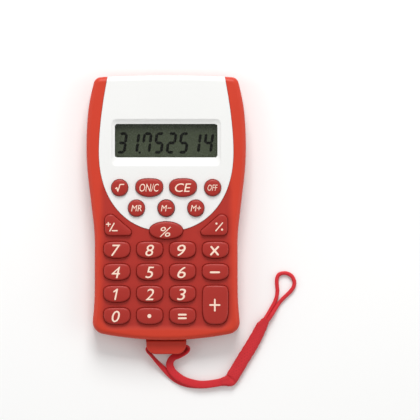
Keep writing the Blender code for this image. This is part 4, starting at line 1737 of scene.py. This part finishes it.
    def print_legend(self, key: Key) -> None:
        """Makes the legend's ink, which rides on its key.

        Args:
            key: The key.
        """
        legend = key.legend
        low, high = self.top - self.ink_depth, self.top + self.ink
        pieces = [stroke.bar(key.centre, low, high) for stroke in legend.strokes]
        for other in pieces[1:]:
            combine(pieces[0], "UNION", other)
        pieces = pieces[:1]
        for x, y, radius in legend.dots:
            dot = shifted(circle((x, y), radius, 24), key.centre)
            pieces.append(prism("dot", dot, low, high))
        if legend.text:
            pieces.append(self.letters(legend, key.centre, low, high))
        ink = merge(pieces, key.node.replace("key_", "legend_"))
        shade(ink, 30.0, False)
        finish_piece(ink, key.node, LEGEND_CREAM)

    def letters(self, legend: Legend, centre: Flat, low: float, high: float) -> Piece:
        """Sets characters as a slanted solid, centred on the key.

        Args:
            legend: The key's legend.
            centre: The key's centre.
            low: Height of the ink's underside.
            high: Height of its top.

        Returns:
            The characters.
        """
        bpy.ops.object.select_all(action="DESELECT")
        bpy.ops.object.text_add()
        text = bpy.context.object
        text.data.body = legend.text
        text.data.shear = legend.slant
        text.data.offset = legend.weight * 0.1
        text.data.resolution_u = 4
        text.data.extrude = (high - low) / 2
        bpy.ops.object.convert(target="MESH")
        mesh = text.data
        spans = [[vertex.co[axis] for vertex in mesh.vertices] for axis in (0, 1)]
        middle = [(min(span) + max(span)) / 2 for span in spans]
        scale = legend.height / (max(spans[1]) - min(spans[1]))
        for vertex in mesh.vertices:
            x = (vertex.co.x - middle[0]) * scale * legend.widen + centre[0] + legend.shift[0]
            y = (vertex.co.y - middle[1]) * scale + centre[1] + legend.shift[1]
            vertex.co = Vector((x, y, vertex.co.z + (low + high) / 2)) * MM
        return text


@dataclass
class FrontShell:
    """Red upper shell: soft-edged case, keypad dish, panel recess and key openings.

    The posts at the display end are the shorter ones, because they end under the panel.
    """

    gap: float = 0.1
    dish_half: float = 27.8
    dish_y: Flat = (-48.6, 13.0)
    dish_corner: float = 5.0
    dish_depth: float = 0.35
    dish_soft: float = 3.4
    step_wall: float = 1.2
    ledge: float = 1.4
    ledge_span: Flat = (8.4, 9.6)
    slot_half: float = 25.5
    tab_x: Flat = (22.2, 28.0)
    tab_y: Flat = (16.5, 19.9)
    post_top: Flat = (9.35, 10.1)
    pilot_radius: float = 1.1
    pilot_top: float = 8.7

    def build(self, keypad: Keypad) -> None:
        """Makes the shell in the order a mould maker would cut it.

        Args:
            keypad: The keys to leave room for.
        """
        shell = loft("front_shell_skin", SHAPE.front_rings(SHAPE.seam + self.gap))
        inside = offset(SHAPE.outline(), SHAPE.wall)
        combine(shell, "DIFFERENCE", prism("hollow", inside, BELOW, self.ledge_span[0]))
        self.hollow_under_deck(shell, inside)
        combine(shell, "DIFFERENCE", self.dish_tool())
        combine(shell, "DIFFERENCE", self.recess_tool())
        opening = prism("opening", offset(SHAPE.panel(), self.ledge), BELOW, SHAPE.deck_under)
        combine(shell, "DIFFERENCE", opening)
        slot_y = (SHAPE.top_end - SHAPE.top_sag - SHAPE.wall - 0.3, SHAPE.panel_overrun)
        slot_z = (BELOW, self.ledge_span[1] + 0.1)
        slot = block("slot", (-self.slot_half, self.slot_half), slot_y, slot_z)
        combine(shell, "DIFFERENCE", slot)
        self.bosses(shell)
        self.openings(shell, keypad)
        shade(shell)
        finish_piece(shell, CASE, SHELL_RED, ["front_shell"])

    def hollow_under_deck(self, shell: Piece, inside: list[Flat]) -> None:
        """Hollows the part above the ledge, but leaves a wall round the panel's recess.

        Args:
            shell: The shell.
            inside: Outline of the inside of its wall.
        """
        high = prism("high_hollow", inside, self.ledge_span[0] - 0.1, SHAPE.deck_under)
        wall = prism("wall", offset(SHAPE.panel(), -self.step_wall), BELOW, SHAPE.deck_top + 2.5)
        combine(high, "DIFFERENCE", wall)
        combine(shell, "DIFFERENCE", high)

    def dish_tool(self) -> Piece:
        """The keypad's shallow dish, with a soft S-shaped edge."""
        outline = even(rectangle(self.dish_half, self.dish_y, self.dish_corner, 10), 160)
        bottom = SHAPE.deck_top - self.dish_depth
        rings, steps = [], 8
        for i in range(steps + 1):
            part = i / steps
            rise = (self.dish_depth + 0.03) * part * part * (3 - 2 * part)
            inset = self.dish_soft * (0.5 - part)
            rings.append(at_height(offset(outline, inset), bottom + rise))
        rings.append(at_height(offset(outline, -self.dish_soft / 2 - 0.5), SHAPE.deck_top + 1.5))
        return loft("dish", rings)

    def recess_tool(self) -> Piece:
        """The white panel's seat, with a tiny round on its rim."""
        rim = 0.12
        panel = SHAPE.panel()
        top = SHAPE.deck_top
        rings = [at_height(panel, self.ledge_span[1]), at_height(panel, top - rim)]
        rings.append(at_height(offset(panel, -rim), top))
        rings.append(at_height(offset(panel, -rim), top + 2.0))
        return loft("recess", rings)

    def bosses(self, shell: Piece) -> None:
        """Adds posts for the screws, with their pilot holes, and the tabs of the upper two.

        Args:
            shell: The shell.
        """
        near, far = self.tab_x
        tab_z = (self.ledge_span[0], self.ledge_span[1] - 0.1)
        tabs = [block("tab", span, self.tab_y, tab_z) for span in ((near, far), (-far, -near))]
        posts, holes = [], []
        for places, radius, low in ((CASE_SCREWS, 2.2, 5.9), (BOARD_SCREWS, 1.9, 5.1)):
            for place in places:
                top = self.post_top[1] if place[1] < 0 else self.post_top[0]
                posts.append(prism("post", circle(place, radius, 24), low, top))
                pilot = circle(place, self.pilot_radius, 16)
                holes.append(prism("pilot", pilot, low - 1.0, self.pilot_top))
        combine(shell, "UNION", *tabs)
        combine(shell, "UNION", *posts)
        combine(shell, "DIFFERENCE", *holes)

    def openings(self, shell: Piece, keypad: Keypad) -> None:
        """Cuts a flared opening for each key of the field, and room for the percent key.

        Args:
            shell: The shell.
            keypad: The keys.
        """
        floor = SHAPE.deck_top - self.dish_depth
        field = [key for key in keypad.keys() if key.seat is Seat.FIELD]
        tools = [key.cutter(keypad.clearance, floor) for key in field]
        percent = keypad.percent_key()
        tools.append(percent.cutter(keypad.clearance, floor))
        combine(shell, "DIFFERENCE", *tools)
        room = offset(percent.outline, -0.9)
        combine(shell, "DIFFERENCE", prism("room", room, INSIDE, SHAPE.deck_under - 0.15))


@dataclass
class FacePanel:
    """White panel with its end wall, its sloping display opening and its key openings.

    The slope's steps are shares of the way outwards and of the way up.
    """

    gap: float = 0.1
    window_half: float = 22.05
    window_y: Flat = (24.7, 39.1)
    recess_half: float = 23.6
    recess_y: Flat = (20.7, 41.4)
    lip: float = 10.5
    window_corner: float = 0.7
    recess_corner: float = 2.0
    slope: tuple[Flat, ...] = ((0.06, 0.05), (0.3, 0.22), (0.6, 0.52), (0.85, 0.82), (1.0, 1.0))

    def build(self, keypad: Keypad) -> None:
        """Cuts the panel from the same outer shape as the shell, so that the two run on.

        Args:
            keypad: The keys that it has openings for.
        """
        panel = loft("face_panel_skin", SHAPE.front_rings(SHAPE.seam + self.gap))
        rim = 0.12
        seat = offset(SHAPE.panel(), self.gap)
        top = SHAPE.deck_top
        rings = [at_height(seat, BELOW), at_height(seat, top - rim)]
        rings += [at_height(offset(seat, rim), z) for z in (top + 0.001, top + 2.0)]
        combine(panel, "INTERSECT", loft("panel_outline", rings))
        hollow = prism("hollow", offset(SHAPE.outline(), SHAPE.wall), BELOW, SHAPE.deck_under)
        combine(panel, "DIFFERENCE", hollow)
        combine(panel, "DIFFERENCE", self.window_tool())
        tools = [
            key.cutter(keypad.clearance, SHAPE.deck_top)
            for key in keypad.keys()
            if key.seat is not Seat.FIELD
        ]
        combine(panel, "DIFFERENCE", *tools)
        shade(panel)
        finish_piece(panel, CASE, PANEL_WHITE, ["face_panel"])

    def window_tool(self) -> Piece:
        """The display's opening: straight below, sloping out softly to the panel's face."""
        sides, spare = 96, 0.5
        window = even(rectangle(self.window_half, self.window_y, self.window_corner), sides)
        inner = [self.window_half, *self.window_y, self.window_corner]
        outer = [self.recess_half, *self.recess_y, self.recess_corner]
        rings = [at_height(window, 5.0), at_height(window, self.lip)]
        height = SHAPE.deck_top - self.lip
        for part, rise in self.slope:
            half, low, high, corner = (a + (b - a) * part for a, b in zip(inner, outer))
            ring = even(rectangle(half, (low, high), corner), sides)
            rings.append(at_height(ring, self.lip + height * rise + 0.002 * part))
        low, high = self.recess_y
        grown = rectangle(self.recess_half + spare, (low - spare, high + spare), 2.4)
        rings.append(at_height(even(grown, sides), SHAPE.deck_top + 2.0))
        return loft("window", rings)


@dataclass
class RearShell:
    """Red lower shell with the lug, the screw holes, the battery bay and the door's seat.

    The tunnel is given as Y, Z and radius, and its mouths as steps inwards from the lug's
    side with what each adds to the radius. The bay's radii are its wall outside and inside,
    and the hole in the floor.
    """

    lug_half: float = 8.6
    lug_root: float = 8.8
    lug_end: float = -59.9
    lug_flare_y: float = -55.0
    lug_z: Flat = (1.2, 7.2)
    lug_corner: float = 4.0
    tunnel: Spot = (-56.6, 4.2, 1.6)
    battery_y: float = 50.9
    door_half: float = 9.7
    door_y: float = 43.3
    door_z: Flat = (0.2, 1.5)
    door_room: float = 0.12
    gap: float = 0.3
    lug_edge: float = 0.6
    bay_floor: tuple[Flat, Flat, Flat] = ((-11.5, 11.5), (42.3, 58.7), (1.3, 3.0))
    bay_notch: tuple[Flat, Flat, Flat] = ((-5.5, 5.5), (41.0, 47.0), (3.0, 8.0))
    bay_radii: Spot = (7.9, 6.9, 6.2)
    mouths: tuple[Flat, ...] = ((-4.0, 0.8), (0.0, 0.45), (0.5, 0.12), (1.0, 0.0))

    def build(self) -> None:
        """Makes the shell, the lug on it and everything that is cut into it."""
        shell = loft("rear_shell_skin", SHAPE.back_rings(SHAPE.seam))
        hollow = prism("hollow", offset(SHAPE.outline(), SHAPE.wall), SHAPE.floor_top, 9.0)
        combine(shell, "DIFFERENCE", hollow)
        bosses = [prism("boss", circle(place, 2.5, 24), 1.3, 5.6) for place in CASE_SCREWS]
        combine(shell, "UNION", *bosses)
        combine(shell, "UNION", block("bay_floor", *self.bay_floor))
        wall, inside, hole = (circle((0.0, self.battery_y), radius, 48) for radius in self.bay_radii)
        combine(shell, "UNION", prism("bay_ring", wall, 2.5, 5.4))
        self.add_lug(shell)
        combine(shell, "DIFFERENCE", prism("bay_inside", inside, 3.0, 8.0))
        combine(shell, "DIFFERENCE", block("notch", *self.bay_notch))
        combine(shell, "DIFFERENCE", prism("bay_hole", hole, -1.0, 3.5))
        half, front = self.door_half + self.door_room, self.door_y - self.door_room
        seat = block("seat", (-half, half), (front, PAST_END), (-1.0, self.door_z[1] + self.gap))
        combine(shell, "DIFFERENCE", seat)
        heads = [self.head_hole(place) for place in CASE_SCREWS]
        combine(shell, "DIFFERENCE", *heads)
        shafts = [prism("shaft", circle(place, 1.1, 16), 1.0, 8.0) for place in CASE_SCREWS]
        combine(shell, "DIFFERENCE", *shafts)
        shade(shell)
        finish_piece(shell, CASE, SHADED_REAR_RED, ["rear_shell"])

    def head_hole(self, place: Flat) -> Piece:
        """A counterbore for a screw's head, with a soft rim at the back.

        Args:
            place: The screw's place.

        Returns:
            The tool.
        """
        ring = circle(place, 1.9, 32)
        rim, below, seat_z = 0.2, 0.3, 1.75
        rings = [at_height(offset(ring, -rim - below), -below), at_height(offset(ring, -rim), 0.0)]
        rings += [at_height(ring, rim), at_height(ring, seat_z)]
        return loft("head_hole", rings)

    def lug_outline(self, root_y: float, flared: bool) -> list[Flat]:
        """The lug from above, with large corners at its free end.

        Args:
            root_y: Where it starts at the case.
            flared: Whether it widens there.

        Returns:
            The closed outline.
        """
        root = [(-self.lug_half, root_y, 0.9), (self.lug_half, root_y, 0.9)]
        if flared:
            root = [
                (-self.lug_half, self.lug_flare_y, 1.2),
                (-self.lug_root, root_y, 0.8),
                (self.lug_root, root_y, 0.8),
                (self.lug_half, self.lug_flare_y, 1.2),
            ]
        free = [(x, self.lug_end, self.lug_corner) for x in (self.lug_half, -self.lug_half)]
        return rounded_polygon((root + free)[::-1], 8)

    def add_lug(self, shell: Piece) -> None:
        """Joins the lug in two blocks, with round edges, and bores the strap's tunnel.

        Args:
            shell: The shell.
        """
        edge = self.lug_edge
        low, high = self.lug_z[0] + edge, self.lug_z[1] - edge
        outline = self.lug_outline(SHAPE.bottom_end + 1.2, True)
        rings = edge_rings(outline, low, edge, 4, under=True)
        rings += [at_height(outline, low), at_height(outline, SHAPE.seam - 0.1)]
        combine(shell, "UNION", loft("lug_lower", rings))
        outline = self.lug_outline(SHAPE.bottom_end - 0.25, False)
        rings = [at_height(outline, SHAPE.seam - 1.1), at_height(outline, high)]
        rings += edge_rings(outline, high, edge, 4)
        combine(shell, "UNION", loft("lug_upper", rings))
        combine(shell, "DIFFERENCE", self.tunnel_tool())

    def tunnel_tool(self) -> Piece:
        """The bore for the strap, across the lug, with bell mouths at both ends."""
        y, z, radius = self.tunnel
        rings = []
        profile = [(inwards - self.lug_half, grow) for inwards, grow in self.mouths]
        stations = profile + [(-x, grow) for x, grow in reversed(profile)]
        for x, grow in stations:
            rings.append([(x, a, b) for a, b in circle((y, z), radius + grow, 32)])
        return loft("tunnel", rings)


@dataclass
class BatteryDoor:
    """The sliding cover on the back, with grip grooves near its end."""

    half: float = 9.7
    front: float = 43.3
    span_z: Flat = (0.2, 1.5)
    grooves: int = 5
    groove_pitch: float = 1.5
    groove_half: float = 5.2
    groove_step: float = 0.55
    groove_radius: float = 0.42
    last_groove: float = 53.6
    edge: float = 0.25

    def build(self) -> None:
        """Cuts the cover from the back of the case, so that its end follows the outline."""
        door = loft("battery_door_skin", SHAPE.back_rings(SHAPE.seam))
        half, (low, high) = self.half, self.span_z
        plan = [(-half, self.front), (half, self.front), (half, PAST_END), (-half, PAST_END)]
        rings = [at_height(offset(plan, self.edge), low), at_height(plan, low + self.edge)]
        rings.append(at_height(plan, high))
        combine(door, "INTERSECT", loft("door_shape", rings))
        combine(door, "DIFFERENCE", *[self.groove(i) for i in range(self.grooves)])
        shade(door)
        finish_piece(door, "battery_door", SHADED_REAR_RED, ["battery_door"])

    def groove(self, number: int) -> Piece:
        """One grip groove: a trough across the cover with round ends, shorter towards the inside.

        Args:
            number: Which groove, counted from the display end.

        Returns:
            The tool.
        """
        y = self.last_groove - number * self.groove_pitch
        half = self.groove_half - self.groove_step * number
        plan = bar_outline((-half, y), (half, y), self.groove_radius, 8)
        levels = ((-0.25, -0.4), (0.0, 0.1), (0.22, 0.42))
        rings = [at_height(offset(plan, inset), self.span_z[0] + rise) for inset, rise in levels]
        return loft("groove", rings)


@dataclass
class CaseScrews:
    """The four screws that hold the case together, with crossed recesses.

    The thread is given as the radii of its valleys and crests, and the cross as half its
    length and half its width.
    """

    head_radius: float = 1.6
    head_z: Flat = (0.35, 1.45)
    shaft_top: float = 8.0
    thread: Flat = (0.62, 0.8)
    thread_pitch: float = 0.4
    cross: Flat = (0.95, 0.19)
    cross_depth: float = 0.62

    def build(self) -> None:
        """Models one screw and copies it to each place."""
        pattern = self.screw()
        for number, (x, y) in enumerate(CASE_SCREWS, 1):
            mesh = pattern.data.copy()
            mesh.transform(Matrix.Translation((x * MM, y * MM, 0.0)))
            copy = bpy.data.objects.new(f"case_screw_{number}_turned", mesh)
            bpy.context.scene.collection.objects.link(copy)
            finish_piece(copy, CASE, SCREW_ZINC, [f"case_screw_{number}"])
        bpy.data.objects.remove(pattern, do_unlink=True)

    def screw(self) -> Piece:
        """A pan head with a crossed recess, and a shaft with thread rings."""
        low, high = self.head_z
        head = self.head_radius
        profile = [(head * 0.55, low), (head * 0.85, low + 0.1), (head, low + 0.4)]
        profile += [(head, high), (0.75, high)]
        valley, crest = self.thread
        z = high + 0.3
        while z < self.shaft_top - 0.6:
            profile += [(valley, z), (crest, z + self.thread_pitch / 2)]
            z += self.thread_pitch
        profile.append((0.4, self.shaft_top))
        rings = [at_height(circle((0.0, 0.0), radius, 32), height) for radius, height in profile]
        screw = loft("screw", rings)
        for x, y in (self.cross, self.cross[::-1]):
            recess = block("recess", (-x, x), (-y, y), (low - 0.5, low + self.cross_depth))
            combine(screw, "DIFFERENCE", recess)
        shade(screw, 40.0, False)
        return screw


@dataclass
class Display:
    """The digits of the liquid crystal cell."""

    first_x: float = -18.95
    pitch: float = 5.3
    size: Flat = (4.05, 9.2)
    middle_y: float = 30.95
    bar: float = 1.2
    slant: float = 0.13
    glass_top: float = 8.1
    ink: float = 0.03
    ink_gap: float = 0.01
    number: str = "31.752514"

    def build(self) -> None:
        """Makes every lit segment as one thin piece on the glass."""
        pieces: list[Piece] = []
        column = -1
        for character in self.number:
            if character == ".":
                pieces.append(self.point(column))
                continue
            column += 1
            pieces += [self.segment(name, column) for name in self.lit(character)]
        digits = merge(pieces, "lcd_digits")
        shade(digits, 30.0, False)
        finish_piece(digits, CASE, LCD_SEGMENT)

    @staticmethod
    def lit(digit: str) -> str:
        """Returns the segments that a digit lights, lettered clockwise from the top.

        Args:
            digit: The digit.

        Returns:
            The letters of its segments.
        """
        letters = "abcdef bc abged abgcd fgbc afgcd afgedc fabc abcdefg abcdfg".split()
        return letters[int(digit)]

    def place(self, x: float, y: float, column: int) -> Flat:
        """Turns a point of a digit's own box into a place on the glass.

        Args:
            x: Its X from the digit's middle.
            y: Its Y from the digit's middle.
            column: The digit's column.

        Returns:
            The place.
        """
        return (self.first_x + column * self.pitch + x + y * self.slant, self.middle_y + y)

    def segment(self, name: str, column: int) -> Piece:
        """One segment: a flat bar with pointed ends.

        Args:
            name: The segment's letter.
            column: The digit's column.

        Returns:
            The segment.
        """
        half_x, half_y = self.size[0] / 2, self.size[1] / 2
        inner_x, inner_y = half_x - self.bar / 2, half_y - self.bar / 2
        ends = {
            "a": ((-inner_x, inner_y), (inner_x, inner_y)),
            "g": ((-inner_x, 0.0), (inner_x, 0.0)),
            "d": ((-inner_x, -inner_y), (inner_x, -inner_y)),
            "f": ((-inner_x, 0.0), (-inner_x, inner_y)),
            "b": ((inner_x, 0.0), (inner_x, inner_y)),
            "e": ((-inner_x, -inner_y), (-inner_x, 0.0)),
            "c": ((inner_x, -inner_y), (inner_x, 0.0)),
        }
        start, end = (Vector(p) for p in ends[name])
        ahead = (end - start).normalized()
        side = Vector((-ahead.y, ahead.x)) * self.bar / 2
        tip = 0.05
        shoulder = tip + self.bar / 2
        spots = (
            start + ahead * tip,
            start + ahead * shoulder - side,
            end - ahead * shoulder - side,
            end - ahead * tip,
            end - ahead * shoulder + side,
            start + ahead * shoulder + side,
        )
        return self.print_on_glass([self.place(p.x, p.y, column) for p in spots])

    def print_on_glass(self, outline: list[Flat]) -> Piece:
        """Makes a thin piece just over the glass."""
        low = self.glass_top + self.ink_gap
        return prism("segment", outline, low, low + self.ink)

    def point(self, column: int) -> Piece:
        """The decimal point, which leans with the digits.

        Args:
            column: The column that it follows.

        Returns:
            The point.
        """
        centre = self.place(self.size[0] / 2 + 0.75, -self.size[1] / 2 + 0.45, column)
        plan = ((-0.45, -0.4), (0.35, -0.4), (0.45, 0.4), (-0.35, 0.4))
        return self.print_on_glass(shifted(plan, centre))


@dataclass
class Inside:
    """The frame's own pieces that keep their shape and only get a finish."""

    def build(self) -> None:
        """Gives each node its finish."""
        finishes: dict[str, Finish] = {
            "lcd_window": WINDOW_CLEAR,
            "lcd_cell": LCD_GLASS,
            "lcd_connector": CONNECTOR_RUBBER,
            "circuit_board": BOARD_GREEN,
            "keypad_mat": MAT_SILICONE,
            "chip_blob": CHIP_RESIN,
            "clock_resistor": RESISTOR_CERAMIC,
            "battery_cell": CELL_STEEL,
            "battery_contact_negative": CONTACT_NICKEL,
            "battery_contact_positive": CONTACT_NICKEL,
        }
        finishes.update({f"board_screw_{number}": SCREW_ZINC for number in range(1, 5)})
        for node, finish in finishes.items():
            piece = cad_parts[node]
            piece.data.materials.clear()
            piece.data.materials.append(finish.material())
            LOG.info("%s: %s", node, finish.name)


def main() -> None:
    """Builds the studio, the cords and then the rest, in order."""
    logging.basicConfig(level=logging.INFO, format="%(name)s %(message)s")
    Studio().set_up()
    Lanyard().build()
    keypad = Keypad()
    FrontShell().build(keypad)
    FacePanel().build(keypad)
    RearShell().build()
    BatteryDoor().build()
    CaseScrews().build()
    keypad.build()
    Display().build()
    Inside().build()


if __name__ == "__main__":
    main()
